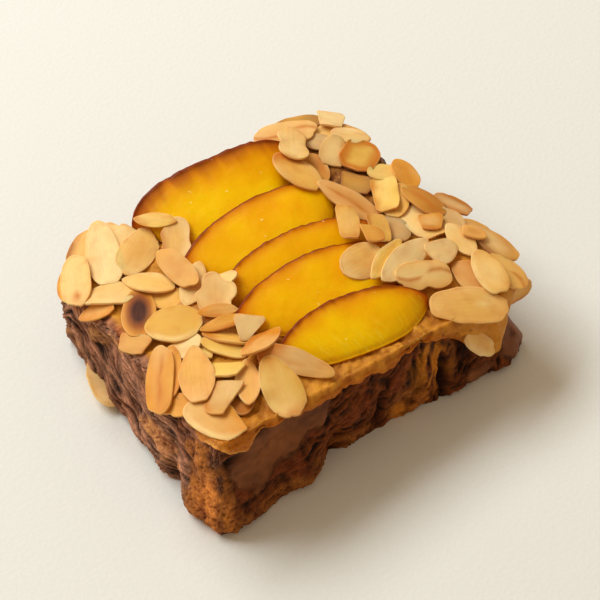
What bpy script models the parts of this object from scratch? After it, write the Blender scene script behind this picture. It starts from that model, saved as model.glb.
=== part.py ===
"""Bostock: a thick square of brioche under baked almond cream, five peach slices and flaked almonds.

Sizes are in millimetres and turned into metres when a mesh is made. The slice rests on z = 0, its long
front side runs along +X and its back is towards +Y. The sizes are laid out about the middle of the bread,
and at the end everything moves a little, so that the origin is under the middle of the whole thing.
"""

import math

import bmesh
import bpy
import numpy as np
from mathutils import Matrix, Vector, noise

# ------------------------------------------------------------------ driving dimensions (mm)
MM = 0.001
PART_NAME = "bostock"
GAP = 0.35                     # air kept between two nodes that touch
MIDDLE = (0.3, 2.6)            # middle of the whole, almonds and fruit included, seen from above

# Corners of the slice, counter-clockwise: front left, front right, back right, back left.
FOOT_CORNERS = ((-57.6, -45.6), (52.6, -42.8), (51.0, 44.0), (-52.6, 44.0))
RIM_CORNERS = ((-54.0, -40.5), (50.5, -39.5), (48.0, 44.0), (-51.5, 44.0))
CORNER_RADII = (3.5, 10.0, 9.0, 10.0)
CREAM_HEIGHTS = (34.5, 28.0, 30.0, 25.5)   # top of the almond cream at the same four corners
CREAM_CROWN = 1.6                          # rise of the cream in the middle
CREAM_THICKNESS = 2.6
FOOT_ROUNDING = 1.4                        # how far the bottom edge curls in under the slice
FOOT_ROUNDING_LEVEL = 0.1                  # share of the height over which it does

SIDE_STEPS = 27                # points along each side of the slice
CORNER_STEPS = 4               # and round each corner
CRUST_LEVELS = (0.0, 0.06, 0.2, 0.4, 0.6, 0.8, 0.93, 1.0)
FLAT_ANGLE = math.radians(1.5)  # faces closer to flat than this are merged after a cut
MERGE_DISTANCE = 0.01          # and points closer than this become one
MITRE_LIMIT = 1.6              # most that a sharp corner of a cutter is pushed out, in gaps
CAP_RINGS = (0.7, 0.35)        # rings that close a cap, as shares of the outline

# Lobes (+) and hollows (-) of the crust: side, place along it, height, half width, half height, depth.
CRUST_RELIEF = (
    ("front", -52, 6, 6, 7, 1.0),      # ragged foot of the nearest corner
    ("front", -36, 20, 12, 8, -1.6),   # smooth sunken panel
    ("front", -35, 2, 6, 8, -1.0),
    ("front", -27, 4, 4, 5, 1.2),      # crumbs under the panel
    ("front", -14.8, 6, 5, 10, -4.8),  # step
    ("front", -5, 3, 17, 9, -4.0),     # long recess of the foot beyond it
    ("front", -10, 16, 7, 9, 1.2),     # streaked lobe
    ("front", 0, 10, 2, 10, -2.4),     # groove
    ("front", 6.5, 5, 4.5, 8, -2.4),   # recess
    ("front", 15, 16, 5, 9, 0.8),      # torn strands
    ("front", 16, 4, 8, 8, -2.4),
    ("front", 22, 11, 2, 10, -2.4),    # second groove
    ("front", 31, 6, 7, 7, 0.8),       # dark lobe
    ("front", 46, 4, 7, 6, 2.6),       # rounded lobe of the right corner
    ("front", 48, 17, 6, 8, -1.6),     # and the hollow above it
    ("left", 34, 5, 8, 8, -0.6),
    ("left", 15, 22, 5, 5, -3.2),      # dark pocket under the almonds
    ("left", 11, 4, 6, 6, 1.6),
    ("left", -8, 20, 12, 5, 1.2),      # layered ridge
    ("left", -13, 4, 8, 7, 2.4),
    ("left", -22, 3, 3, 7, -2.2),
    ("left", -34, 24, 6, 6, 1.8),      # open crumb under the cream
    ("left", -33, 5, 8, 9, 3.4),       # ragged foot
    ("right", -15, 24, 22, 14, 3.4),   # bulge of the right side
    ("right", 5, 6, 12, 6, 1.0),
    ("right", 26, 16, 8, 8, -1.4),
    ("right", -38, 3, 6, 6, 3.4),
    ("right", -39, 16, 6, 8, -2.6),
    ("back", 30, 8, 12, 7, 1.2),
    ("back", 2, 14, 10, 7, -1.6),
    ("back", -28, 6, 12, 6, 1.4),
)
CRUST_WAVES = ((13.0, 1.0), (6.0, 0.55))   # wavelength and depth of the uneven crust

# Places where the cream has run down a side: side, place along it, half width, drop, thickness.
CREAM_DRIPS = (
    ("front", -47, 5, 2.0, 2.2),
    ("front", -20, 9, 0.6, 1.4),
    ("front", 2, 4.5, 1.2, 1.6),
    ("front", 13, 5, -1.6, 0.3),
    ("front", 38.5, 13, 17.2, 3.0),
    ("left", -37, 7, 1.6, 1.4),
    ("left", 24, 6, 1.6, 1.2),
    ("right", -36, 7, 9, 1.2),
    ("right", -4, 9, 3.0, 1.8),
    ("right", 25, 6, 2.0, 1.6),
    ("back", 30, 9, 3.0, 1.8),
    ("back", -22, 9, 4.0, 2.0),
)
CREAM_LIP = 0.5                # how far the cream reaches down a side between the drips
CREAM_OVERHANG = 0.8           # and how far it stands out there
CREAM_ROOT = 5.0               # how far the edge is carried into the bread, before the bread is cut out
CREAM_EDGE_ROUNDING = 1.3      # drop over which the cream's upper edge turns down

# Peach slices from back to front: middle of the chord, heading, half length, bulge of the skin side,
# bulge of the cut side, rise of the skin edge and of the cut edge over the cream, squareness of the skin.
PEACH_SLICES = (
    (0.5, 40.5, -6, 27.8, 6.0, 18.0, 8.0, 1.5, 4.0),
    (2.0, 18.5, 0, 27, 7.5, 14.5, 6.0, 1.5, 2.2),
    (3.0, 1.5, -4, 26, 7.5, 9.5, 6.0, 1.5, 2.2),
    (2.5, -9.5, -6, 27, 8.0, 13.5, 6.0, 1.5, 2.2),
    (1.0, -27.0, -7, 24, 7.5, 8.5, 5.5, 1.4, 2.2),
)
PEACH_STATIONS = 14
PEACH_SINK = 1.0               # how deep a slice is pressed into the cream
PEACH_TIP = 0.4                # half width left at a slice's very ends
PEACH_END_FALL = 0.5           # share by which a slice gets lower towards its ends
PEACH_BACK = 1.4               # how far the skin bulges past its upper edge

# Flaked almonds in the order they fell, as x, y, heading, length, width, point (-1 to 1).
LEFT_HEAP = (
    (-50.3, 38, 55, 13, 7, 0.2), (-40, 45, 40, 18, 10, 0.2), (-31, 43, 75, 14, 8, 0.0),
    (-27.5, 43.5, 100, 11, 8, 0.0), (-50.5, 22, 160, 12, 8, 0.2), (-45.5, 25, 145, 17, 11, 0.3),
    (-50, 4.5, 120, 13, 8, 0.2),
    (-33, 13.5, 140, 13, 8, 0.0), (-29.5, 3.5, 120, 13, 8, 0.2), (-25.5, 12, 40, 15, 7, 0.3),
    (-19.5, 29, 55, 16, 9.5, -0.2), (-38.5, -28.5, 60, 14, 8, 0.2), (-53.5, -20.5, 130, 10, 7, 0.2),
    (-48.5, -32.5, 110, 19.5, 12, 0.3), (-37, -6.5, 95, 12, 6, 0.2), (-40, -5, 5, 10, 7, 0.0),
    (-48, -10, 55, 17, 6, 0.2), (-34.5, -26.5, 55, 18, 7, 0.3), (-42.5, 14, 55, 19, 10, 0.2),
    (-48.5, 36, 60, 19, 9, 0.3), (-34, 21.5, 125, 15, 9, 0.3), (-37, 39.5, 65, 25, 8.5, 0.4),
    (-29.5, 34, 30, 18, 10.5, 0.1), (-19.5, 39, 135, 12.5, 5, 0.2), (-25.5, 19.5, 90, 19.5, 7, 0.2),
    (-23.5, 4.5, 60, 11.5, 9.5, -0.3), (-19, 7.5, 145, 9.5, 8, 0.0), (-37.5, 4, 150, 15.5, 13.5, 0.0),
    (-26.5, -1.5, 150, 11, 4, 0.2), (-32, -12, 125, 14, 6, 0.2), (-29, -10, 135, 15, 6, 0.2),
    (-27.5, -6, 160, 13.5, 4, 0.2), (-23, -10.5, 20, 10, 7.5, 0.2), (-52, -10.5, 50, 22.5, 8, 0.1),
    (-42, -26.5, 40, 16, 10.5, 0.5), (-36.5, -19.5, 125, 10, 7.5, 0.1), (-43.5, -15.5, 60, 22.5, 9.5, 0.2),
    (-20.5, -29, 125, 22.5, 8.5, 0.5), (-28.5, -33.5, 75, 21.5, 10.5, 0.4), (-24, -18.5, 15, 15, 7, 0.3),
)
RIGHT_HEAP = (
    (48, 35.5, 120, 11, 7, 0.0), (40.5, 40, 130, 10, 6.5, 0.2), (37, 37.5, 130, 10.5, 5.5, 0.2),
    (29.5, 29.5, 75, 13, 8, 0.0), (36, 17.5, 120, 12, 8, 0.2), (45, 16.5, 160, 10, 7, 0.0),
    (33.5, -3, 95, 11, 8.5, 0.0), (56, -2.5, 120, 12.5, 7, 0.2), (54, -14, 130, 10.5, 6, 0.2),
    (49, -9.5, 85, 11, 7, 0.2), (50.5, -33, 100, 14, 10.5, 0.1), (42, -5.5, 95, 16, 10, 0.2),
    (41, -31, 100, 16, 9.5, 0.3), (36.2, 47, 157, 15, 7, 0.2), (45.5, 43, 140, 9.5, 11, -0.2),
    (30.8, 45.5, 150, 19, 8.5, 0.2),
    (22, 28, 90, 18.5, 12, 0.2), (45.5, 33.5, 140, 11.5, 5.5, 0.2), (37.5, 31, 45, 12, 7.5, 0.0),
    (41, 5, 45, 13.5, 7, 0.1), (49.5, 12.5, 70, 12, 8.5, 0.2), (28.5, 39, 55, 16, 10, -0.2),
    (43, 25.5, 145, 12, 13, 0.0), (28.5, 11.5, 115, 21, 8.5, 0.1), (21.2, 2.8, 55, 18.5, 6.5, 0.2),
    (28.7, -2, 70, 11, 7, 0.1), (24, -4.2, 155, 9.5, 7, 0.0), (40, 8, 60, 15, 8, -0.1),
    (47, 0.5, 100, 15.5, 9, 0.2), (43.5, -7.5, 145, 8, 6, 0.0), (46.5, -17.5, 90, 13, 7, 0.3),
    (55, -22.5, 105, 15, 9, 0.2), (50.5, -17.5, 140, 8, 5, 0.2), (45, -32, 80, 16, 8.5, 0.2),
    (16.5, -10.5, 175, 13.5, 10.5, 0.1), (22.5, -13.5, 25, 16.5, 6, 0.3), (27, -17, 15, 22, 8, 0.2),
    (38.5, -18.5, 175, 11, 9, -0.1), (28.5, -23, 160, 16.5, 9, 0.0), (33.6, -37.2, 150, 22.5, 10.5, 0.1),
)
# Almonds that cling to a side: x, y, z, heading, length, width, tip down, side fall.
HANGING_FLAKES = (
    (33, -43.0, 18.3, -33, 12.5, 6.5, 44, 0),
    (53.4, -36.0, 20.2, 0, 7.5, 11.5, 0, -78),
)
STUCK_FLAKE = (-52.6, 18.6, 2.6, 78, 19, 9.5, 0, 12)   # one more, caught under the left foot

FLAKE_THICKNESS = 1.2
FLAKE_POINTS = 12
HUNG_POINT = 0.2               # how pointed the almonds on the sides are
FLAKE_BED = 0.45               # how deep each flake settles into what it lies on
FLAKE_STEEPEST = 0.42          # steepest slope a fallen flake keeps
FLAKE_REST = 0.9               # share of what lies under a flake that it comes to rest above
HEAP_CELL = 1.0                # cell of the height map the flakes fall on
EDGE_FALL_START = 3.0          # the map starts to drop this far inside the rim,
EDGE_FALL_END = 12.0           # stops this far past that line
EDGE_FALL = 0.45               # and drops by this much for each millimetre

# ------------------------------------------------------------------ colours
BREAD_COLOUR = (0.155, 0.062, 0.022)
CREAM_COLOUR = (0.62, 0.36, 0.13)
PEACH_COLOUR = (0.83, 0.40, 0.012)


# ------------------------------------------------------------------ the outline of the slice
def rounded_outline(corners, radii, side_steps, corner_steps):
    """Points round a quadrilateral with rounded corners, starting on its first corner."""
    points = []
    count = len(corners)
    for index in range(count):
        before = Vector(corners[index - 1])
        corner = Vector(corners[index])
        after = Vector(corners[(index + 1) % count])
        radius = radii[index]
        start = corner + (before - corner).normalized() * radius
        end = corner + (after - corner).normalized() * radius
        for step in range(corner_steps):
            share = step / corner_steps
            one = start.lerp(corner, share)
            two = corner.lerp(end, share)
            points.append(one.lerp(two, share))
        side_end = after + (corner - after).normalized() * radii[(index + 1) % count]
        for step in range(side_steps):
            points.append(end.lerp(side_end, step / side_steps))
    return points


def outward_normals(points):
    """Unit normals of a closed counter-clockwise outline."""
    normals = []
    for index in range(len(points)):
        along = points[(index + 1) % len(points)] - points[index - 1]
        normals.append(Vector((along.y, -along.x)).normalized())
    return normals


FOOT = rounded_outline(FOOT_CORNERS, CORNER_RADII, SIDE_STEPS, CORNER_STEPS)
RIM = rounded_outline(RIM_CORNERS, CORNER_RADII, SIDE_STEPS, CORNER_STEPS)
NORMALS = outward_normals(FOOT)


def cream_top(x, y):
    """Height of the almond cream's upper face."""
    u = (x - RIM_CORNERS[0][0]) / (RIM_CORNERS[1][0] - RIM_CORNERS[0][0])
    v = (y - RIM_CORNERS[0][1]) / (RIM_CORNERS[3][1] - RIM_CORNERS[0][1])
    front_left, front_right, back_right, back_left = CREAM_HEIGHTS
    front = front_left + (front_right - front_left) * u
    back = back_left + (back_right - back_left) * u
    crown = CREAM_CROWN * max(0.0, 4 * u * (1 - u)) * max(0.0, 4 * v * (1 - v))
    return front + (back - front) * v + crown


def side_strength(side, normal):
    """How much a point whose outward normal is given belongs to a named side."""
    facing = {"front": -normal.y, "back": normal.y, "left": -normal.x, "right": normal.x}[side]
    return max(0.0, facing) ** 2


def bell(distance, width):
    """A smooth bump, 1 in the middle and nearly 0 beyond its width."""
    return math.exp(-(distance / width) ** 2 * 1.4)


def crust_relief(x, y, z, normal):
    """How far the crust stands out at a point of a side."""
    depth = 0.0
    for side, place, height, half_width, half_height, size in CRUST_RELIEF:
        along = x if side in ("front", "back") else y
        bump = bell(along - place, half_width) * bell(z - height, half_height)
        depth += size * bump * side_strength(side, normal)
    for wavelength, size in CRUST_WAVES:
        depth += size * noise.noise(Vector((x, y, z * 1.4)) / wavelength)
    return depth


def crust_ring(level, grow):
    """One closed ring of the bread's side, at a share of its height."""
    ring = []
    for foot, rim, normal in zip(FOOT, RIM, NORMALS):
        flat = foot.lerp(rim, level)
        height = (cream_top(rim.x, rim.y) - CREAM_THICKNESS) * level
        out = crust_relief(flat.x, flat.y, height, normal)
        out -= FOOT_ROUNDING * max(0.0, 1 - level / FOOT_ROUNDING_LEVEL)
        flat = flat + normal * (out + grow)
        ring.append(Vector((flat.x, flat.y, height)))
    return ring


# ------------------------------------------------------------------ mesh helpers
def new_object(name, bm, collection):
    """Turn a bmesh in millimetres into a closed, outward-facing object in metres."""
    bmesh.ops.scale(bm, vec=(MM, MM, MM), verts=bm.verts)
    bmesh.ops.triangulate(bm, faces=bm.faces)
    bmesh.ops.recalc_face_normals(bm, faces=bm.faces)
    mesh = bpy.data.meshes.new(name)
    bm.to_mesh(mesh)
    bm.free()
    piece = bpy.data.objects.new(name, mesh)
    collection.objects.link(piece)
    return piece


def loft(rings, low_pole, high_pole):
    """Skin a stack of equal rings and close both ends on a point."""
    bm = bmesh.new()
    rows = [[bm.verts.new(point) for point in ring] for ring in rings]
    count = len(rows[0])
    for lower, upper in zip(rows, rows[1:]):
        for index in range(count):
            after = (index + 1) % count
            bm.faces.new((lower[index], lower[after], upper[after], upper[index]))
    low = bm.verts.new(low_pole)
    high = bm.verts.new(high_pole)
    for index in range(count):
        after = (index + 1) % count
        bm.faces.new((rows[0][after], rows[0][index], low))
        bm.faces.new((rows[-1][index], rows[-1][after], high))
    return bm


def shrink(ring, share, height_of):
    """A smaller copy of a ring about the origin, laid on a height function."""
    return [Vector((p.x * share, p.y * share, height_of(p.x * share, p.y * share))) for p in ring]


def boolean(piece, operation, cutter, solver="MANIFOLD"):
    """Join or cut a piece by an object or by a whole collection, and apply it."""
    modifier = piece.modifiers.new(operation.title(), "BOOLEAN")
    modifier.operation = operation
    modifier.solver = solver
    if isinstance(cutter, bpy.types.Collection):
        modifier.operand_type = "COLLECTION"
        modifier.collection = cutter
    else:
        modifier.object = cutter
    bpy.context.view_layer.update()
    evaluated = piece.evaluated_get(bpy.context.evaluated_depsgraph_get())
    mesh = bpy.data.meshes.new_from_object(evaluated)
    piece.modifiers.clear()
    mesh.materials.clear()
    old = piece.data
    piece.data = mesh
    mesh.name = piece.name
    bpy.data.meshes.remove(old)


def shells(bm):
    """The separate closed skins of a mesh, as lists of faces joined across their edges."""
    unseen = set(bm.faces)
    found = []
    while unseen:
        stack = [unseen.pop()]
        shell = list(stack)
        while stack:
            for edge in stack.pop().edges:
                if len(edge.link_faces) != 2:
                    continue
                for face in edge.link_faces:
                    if face in unseen:
                        unseen.discard(face)
                        shell.append(face)
                        stack.append(face)
        found.append(shell)
    return found


def enclosed(shell):
    """Volume inside a skin, negative when its faces point into a hollow."""
    total = 0.0
    for face in shell:
        corners = [vert.co for vert in face.verts]
        for two, three in zip(corners[1:], corners[2:]):
            total += corners[0].dot(two.cross(three)) / 6
    return total


def tidy_solid(piece):
    """Merge flat faces after a cut, fill sealed hollows and drop loose scraps."""
    bm = bmesh.new()
    bm.from_mesh(piece.data)
    bmesh.ops.remove_doubles(bm, verts=bm.verts, dist=MERGE_DISTANCE * MM)
    bmesh.ops.dissolve_limit(bm, angle_limit=FLAT_ANGLE, verts=bm.verts, edges=bm.edges)
    bmesh.ops.triangulate(bm, faces=bm.faces)
    by_volume = sorted(shells(bm), key=enclosed)
    spare = [face for shell in by_volume[:-1] for face in shell]
    bmesh.ops.delete(bm, geom=spare, context="FACES")
    bm.to_mesh(piece.data)
    bm.free()


def grown_copy(piece, distance, collection):
    """A cutter that is the same shape, larger by a distance all round."""
    bm = bmesh.new()
    bm.from_mesh(piece.data)
    bm.normal_update()
    moves = [vert.normal * distance * MM * min(MITRE_LIMIT, vert.calc_shell_factor()) for vert in bm.verts]
    for vert, move in zip(bm.verts, moves):
        vert.co += move
    mesh = bpy.data.meshes.new(piece.name + "_cutter")
    bm.to_mesh(mesh)
    bm.free()
    cutter = bpy.data.objects.new(piece.name + "_cutter", mesh)
    cutter.hide_render = True
    cutter.display_type = "WIRE"
    collection.objects.link(cutter)
    return cutter


def material(name, colour, roughness):
    """A plain Principled material."""
    made = bpy.data.materials.new(name)
    made.use_nodes = True
    shader = made.node_tree.nodes["Principled BSDF"]
    shader.inputs["Base Color"].default_value = (*colour, 1.0)
    shader.inputs["Roughness"].default_value = roughness
    made.diffuse_color = (*colour, 1.0)
    return made


# ------------------------------------------------------------------ bread
def bread_body(name, collection, grow=0.0):
    """The slice of brioche, or the same shape a little larger."""
    rings = [crust_ring(level, grow) for level in CRUST_LEVELS]
    foot_height = -grow
    for point in rings[0]:
        point.z = foot_height
    rim = rings[-1]
    for point in rim:
        point.z += grow

    def bread_top(x, y):
        return cream_top(x, y) - CREAM_THICKNESS + grow

    rings += [shrink(rim, share, bread_top) for share in CAP_RINGS]
    foot_cap = [shrink(rings[0], share, lambda x, y: foot_height) for share in reversed(CAP_RINGS)]
    bm = loft(foot_cap + rings, (0, 0, foot_height), (0, 0, bread_top(0, 0)))
    return new_object(name, bm, collection)


# ------------------------------------------------------------------ almond cream
def drip_at(x, y, normal):
    """Drop and thickness of the cream's edge at a point of the rim."""
    drop = CREAM_LIP + 0.5 * noise.noise(Vector((x, y, 40)) / 7)
    thickness = CREAM_OVERHANG
    for side, place, half_width, depth, stand in CREAM_DRIPS:
        along = x if side in ("front", "back") else y
        strength = bell(along - place, half_width) * side_strength(side, normal)
        drop += depth * strength
        thickness += (stand - CREAM_OVERHANG) * min(1.0, 1.3 * strength)
    return drop, thickness


def crust_point(index, height, out):
    """A point on the bread's side at a height, pushed outward."""
    foot, rim, normal = FOOT[index], RIM[index], NORMALS[index]
    full = cream_top(rim.x, rim.y) - CREAM_THICKNESS
    level = min(1.0, max(0.0, height / full))
    flat = foot.lerp(rim, level)
    relief = crust_relief(flat.x, flat.y, height, normal)
    flat = flat + normal * (relief + out)
    return Vector((flat.x, flat.y, height))


def cream_body(collection):
    """Everything the cream fills, the bread still inside it."""
    rings = [[] for _ in range(6)]
    for index, (rim, normal) in enumerate(zip(RIM, NORMALS)):
        top = cream_top(rim.x, rim.y)
        drop, thick = drip_at(rim.x, rim.y, normal)
        low = top - CREAM_THICKNESS - drop
        rings[0].append(crust_point(index, low - 0.6, -CREAM_ROOT))
        rings[1].append(crust_point(index, low, -0.5))
        rings[2].append(crust_point(index, low + 0.5, thick * 0.75))
        rings[3].append(crust_point(index, low + 0.35 * (top - low), thick))
        rings[4].append(crust_point(index, top - CREAM_EDGE_ROUNDING, thick * 0.7))
        edge = crust_point(index, top - CREAM_THICKNESS, -0.9)
        rings[5].append(Vector((edge.x, edge.y, cream_top(edge.x, edge.y) - 0.15)))
    inner = [shrink(rings[5], share, cream_top) for share in (0.92, 0.6, 0.3)]
    bottom = cream_top(0, 0) - CREAM_THICKNESS - CREAM_ROOT
    bm = loft(rings + inner, (0, 0, bottom), (0, 0, cream_top(0, 0)))
    return new_object("almond_cream", bm, collection)


# ------------------------------------------------------------------ peach slices
class PeachSlice:
    """A wedge of peach lying on its side: skin towards the back, stone side towards the front."""

    def __init__(self, x, y, heading, half_length, skin_bulge, cut_bulge, skin_rise, cut_rise, square):
        self.middle = Vector((x, y))
        self.along = Vector((math.cos(math.radians(heading)), math.sin(math.radians(heading))))
        self.back = Vector((-self.along.y, self.along.x))
        self.half_length = half_length
        self.skin_bulge = skin_bulge
        self.cut_bulge = cut_bulge
        self.skin_rise = skin_rise
        self.cut_rise = cut_rise
        self.square = square

    def edges(self, share):
        """Skin edge and cut edge, as offsets from the chord, at a share of the half length."""
        skin = self.skin_bulge * (1 - abs(share) ** self.square)
        cut = -self.cut_bulge * (1 - abs(share) ** 3.0)
        return skin + PEACH_TIP, cut - PEACH_TIP

    def spot(self, share, offset):
        """Plan position of a point of the slice."""
        return self.middle + self.along * (share * self.half_length) + self.back * offset

    def top(self, share, across):
        """Height of the cut face, across running from 0 at the cut edge to 1 at the skin."""
        skin, cut = self.edges(share)
        spot = self.spot(share, cut + (skin - cut) * across)
        ends = 1 - PEACH_END_FALL * abs(share) ** 4
        rise = (self.cut_rise + (self.skin_rise - self.cut_rise) * across ** 1.2) * ends
        return cream_top(spot.x, spot.y) + rise

    def ring(self, share):
        """One cross-section, from the skin's upper edge round to the cut edge and back."""
        skin, cut = self.edges(share)
        points = []
        for across in (1.0, 0.66, 0.33, 0.0):
            spot = self.spot(share, cut + (skin - cut) * across)
            points.append(Vector((spot.x, spot.y, self.top(share, across))))
        for across, sink in ((0.03, 0.5), (0.5, 1.0), (0.9, 1.0)):
            spot = self.spot(share, cut + (skin - cut) * across)
            points.append(Vector((spot.x, spot.y, cream_top(spot.x, spot.y) - PEACH_SINK * sink)))
        round_back = min(PEACH_BACK, 0.2 * (skin - cut))
        spot = self.spot(share, skin + round_back)
        middle = 0.5 * (points[0].z + points[-1].z)
        points.append(Vector((spot.x, spot.y, middle)))
        return points

    def body(self, name, collection):
        """The closed wedge."""
        shares = [math.sin(math.pi * (i / PEACH_STATIONS - 0.5)) for i in range(1, PEACH_STATIONS)]
        rings = [self.ring(share) for share in shares]
        ends = []
        for share in (-1.0, 1.0):
            spot = self.spot(share, 0.0)
            ends.append((spot.x, spot.y, cream_top(spot.x, spot.y) + 0.6))
        return new_object(name, loft(rings, ends[0], ends[1]), collection)


# ------------------------------------------------------------------ flaked almonds
def flake_outline(length, width, point, count):
    """Outline of a flaked almond: an oval that is narrower at one end."""
    outline = []
    for index in range(count):
        angle = 2 * math.pi * index / count
        reach = math.cos(angle)
        across = math.sin(angle) * (1 - 0.45 * point * reach)
        outline.append((reach * length / 2, across * width / 2))
    return outline


def flake_body(name, length, width, point, frame, collection):
    """A flat flake, set in its place by a matrix."""
    bm = bmesh.new()
    outline = flake_outline(length, width, point, FLAKE_POINTS)
    lower, upper = ([bm.verts.new((x, y, side * FLAKE_THICKNESS)) for x, y in outline]
                    for side in (-0.5, 0.5))
    bm.faces.new(upper)
    bm.faces.new(reversed(lower))
    for index in range(FLAKE_POINTS):
        after = (index + 1) % FLAKE_POINTS
        bm.faces.new((lower[index], lower[after], upper[after], upper[index]))
    bmesh.ops.transform(bm, matrix=frame, verts=bm.verts)
    return new_object(name, bm, collection)


class Heap:
    """A height map of the topping, on which flakes settle one after another."""

    def __init__(self, slices):
        self.cells = np.arange(-70.0, 70.0, HEAP_CELL)
        self.height = np.full((len(self.cells), len(self.cells)), np.nan)
        edge = [crust_point(index, cream_top(rim.x, rim.y), 0.0) for index, rim in enumerate(RIM)]
        outline = np.array(edge)
        for column, x in enumerate(self.cells):
            for row, y in enumerate(self.cells):
                away = float(np.hypot(outline[:, 0] - x, outline[:, 1] - y).min())
                beyond = EDGE_FALL_START + (-away if inside(edge, x, y) else away)
                fall = 0.0 if y > abs(x) else EDGE_FALL
                if beyond < EDGE_FALL_END:
                    self.height[column, row] = cream_top(x, y) - fall * max(0.0, beyond)
        for piece in slices:
            self.lay_slice(piece)

    def cell(self, value):
        """Index of the cell that a coordinate falls in."""
        return int(round((value - self.cells[0]) / HEAP_CELL))

    def lay_slice(self, piece):
        """Raise the map to the upper face of a peach slice, with room for the gap."""
        for step in range(-60, 61):
            share = step / 60
            skin, cut = piece.edges(share)
            for line in range(41):
                across = line / 40
                spot = piece.spot(share, cut + (skin - cut) * across)
                top = piece.top(share, across) + GAP + FLAKE_BED
                place = (self.cell(spot.x), self.cell(spot.y))
                if np.isnan(self.height[place]) or self.height[place] < top:
                    self.height[place] = top

    def settle(self, x, y, heading, length, width):
        """Let a flake fall: fit a plane to what is under it, raise it clear, and lay it there."""
        turn = Matrix.Rotation(math.radians(heading), 2)
        under = []
        for i in range(-4, 5):
            for j in range(-3, 4):
                if (i / 4) ** 2 + (j / 3) ** 2 <= 1.05:
                    offset = turn @ Vector((i / 4 * length * 0.46, j / 3 * width * 0.46))
                    place = (self.cell(x + offset.x), self.cell(y + offset.y))
                    if not np.isnan(self.height[place]):
                        under.append((offset.x, offset.y, self.height[place]))
        under = np.array(under)
        sheet = np.c_[under[:, :2], np.ones(len(under))]
        slope_x, slope_y, middle = np.linalg.lstsq(sheet, under[:, 2], rcond=None)[0]
        steepness = math.hypot(slope_x, slope_y)
        if steepness > FLAKE_STEEPEST:
            slope_x *= FLAKE_STEEPEST / steepness
            slope_y *= FLAKE_STEEPEST / steepness
        over = under[:, 2] - (slope_x * under[:, 0] + slope_y * under[:, 1])
        middle = float(np.quantile(over, FLAKE_REST))
        self.raise_map(x, y, turn, length, width, slope_x, slope_y, middle)
        up = Vector((-slope_x, -slope_y, 1)).normalized()
        forward = (turn @ Vector((1, 0))).to_3d()
        forward = (forward - up * forward.dot(up)).normalized()
        across = up.cross(forward)
        frame = Matrix((forward, across, up)).transposed().to_4x4()
        frame.translation = Vector((x, y, middle - FLAKE_BED)) + up * FLAKE_THICKNESS / 2
        return frame

    def raise_map(self, x, y, turn, length, width, slope_x, slope_y, middle):
        """Note the new flake in the height map."""
        for i in range(-20, 21):
            for j in range(-14, 15):
                if (i / 20) ** 2 + (j / 14) ** 2 <= 1:
                    offset = turn @ Vector((i / 40 * length, j / 28 * width))
                    place = (self.cell(x + offset.x), self.cell(y + offset.y))
                    top = middle + slope_x * offset.x + slope_y * offset.y
                    top += FLAKE_THICKNESS - FLAKE_BED
                    if not np.isnan(self.height[place]):
                        self.height[place] = max(self.height[place], top)


def inside(outline, x, y):
    """Whether a point lies inside a closed outline."""
    within = False
    for index, one in enumerate(outline):
        two = outline[index - 1]
        if (one.y > y) != (two.y > y):
            if x < (two.x - one.x) * (y - one.y) / (two.y - one.y) + one.x:
                within = not within
    return within


def hung_frame(x, y, z, heading, tip, fall):
    """Place of a flake that clings to a side."""
    turn = Matrix.Rotation(math.radians(heading), 4, "Z")
    turn = turn @ Matrix.Rotation(math.radians(tip), 4, "Y")
    turn = turn @ Matrix.Rotation(math.radians(fall), 4, "X")
    return Matrix.Translation((x, y, z)) @ turn


def scatter_flakes(slices, collection):
    """Every almond that belongs to the cream, fallen in order on the slices and on each other."""
    heap = Heap(slices)
    for heap_name, rows in (("left", LEFT_HEAP), ("right", RIGHT_HEAP)):
        for number, (x, y, heading, length, width, point) in enumerate(rows):
            frame = heap.settle(x, y, heading, length, width)
            flake_body(f"flake_{heap_name}_{number:02d}", length, width, point, frame, collection)
    for number, (x, y, z, heading, length, width, tip, fall) in enumerate(HANGING_FLAKES):
        frame = hung_frame(x, y, z, heading, tip, fall)
        flake_body(f"flake_hung_{number}", length, width, HUNG_POINT, frame, collection)


# ------------------------------------------------------------------ assembly
def clear_scene():
    """Remove every object, mesh and collection the file starts with."""
    for item in list(bpy.data.objects):
        bpy.data.objects.remove(item, do_unlink=True)
    for group in list(bpy.data.collections):
        bpy.data.collections.remove(group)


def new_collection(name):
    """A collection linked to the scene."""
    group = bpy.data.collections.new(name)
    bpy.context.scene.collection.children.link(group)
    return group


def remove_all(group):
    """Remove a collection with the objects that were only needed for joining."""
    for item in list(group.objects):
        bpy.data.objects.remove(item, do_unlink=True)
    bpy.data.collections.remove(group)


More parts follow.
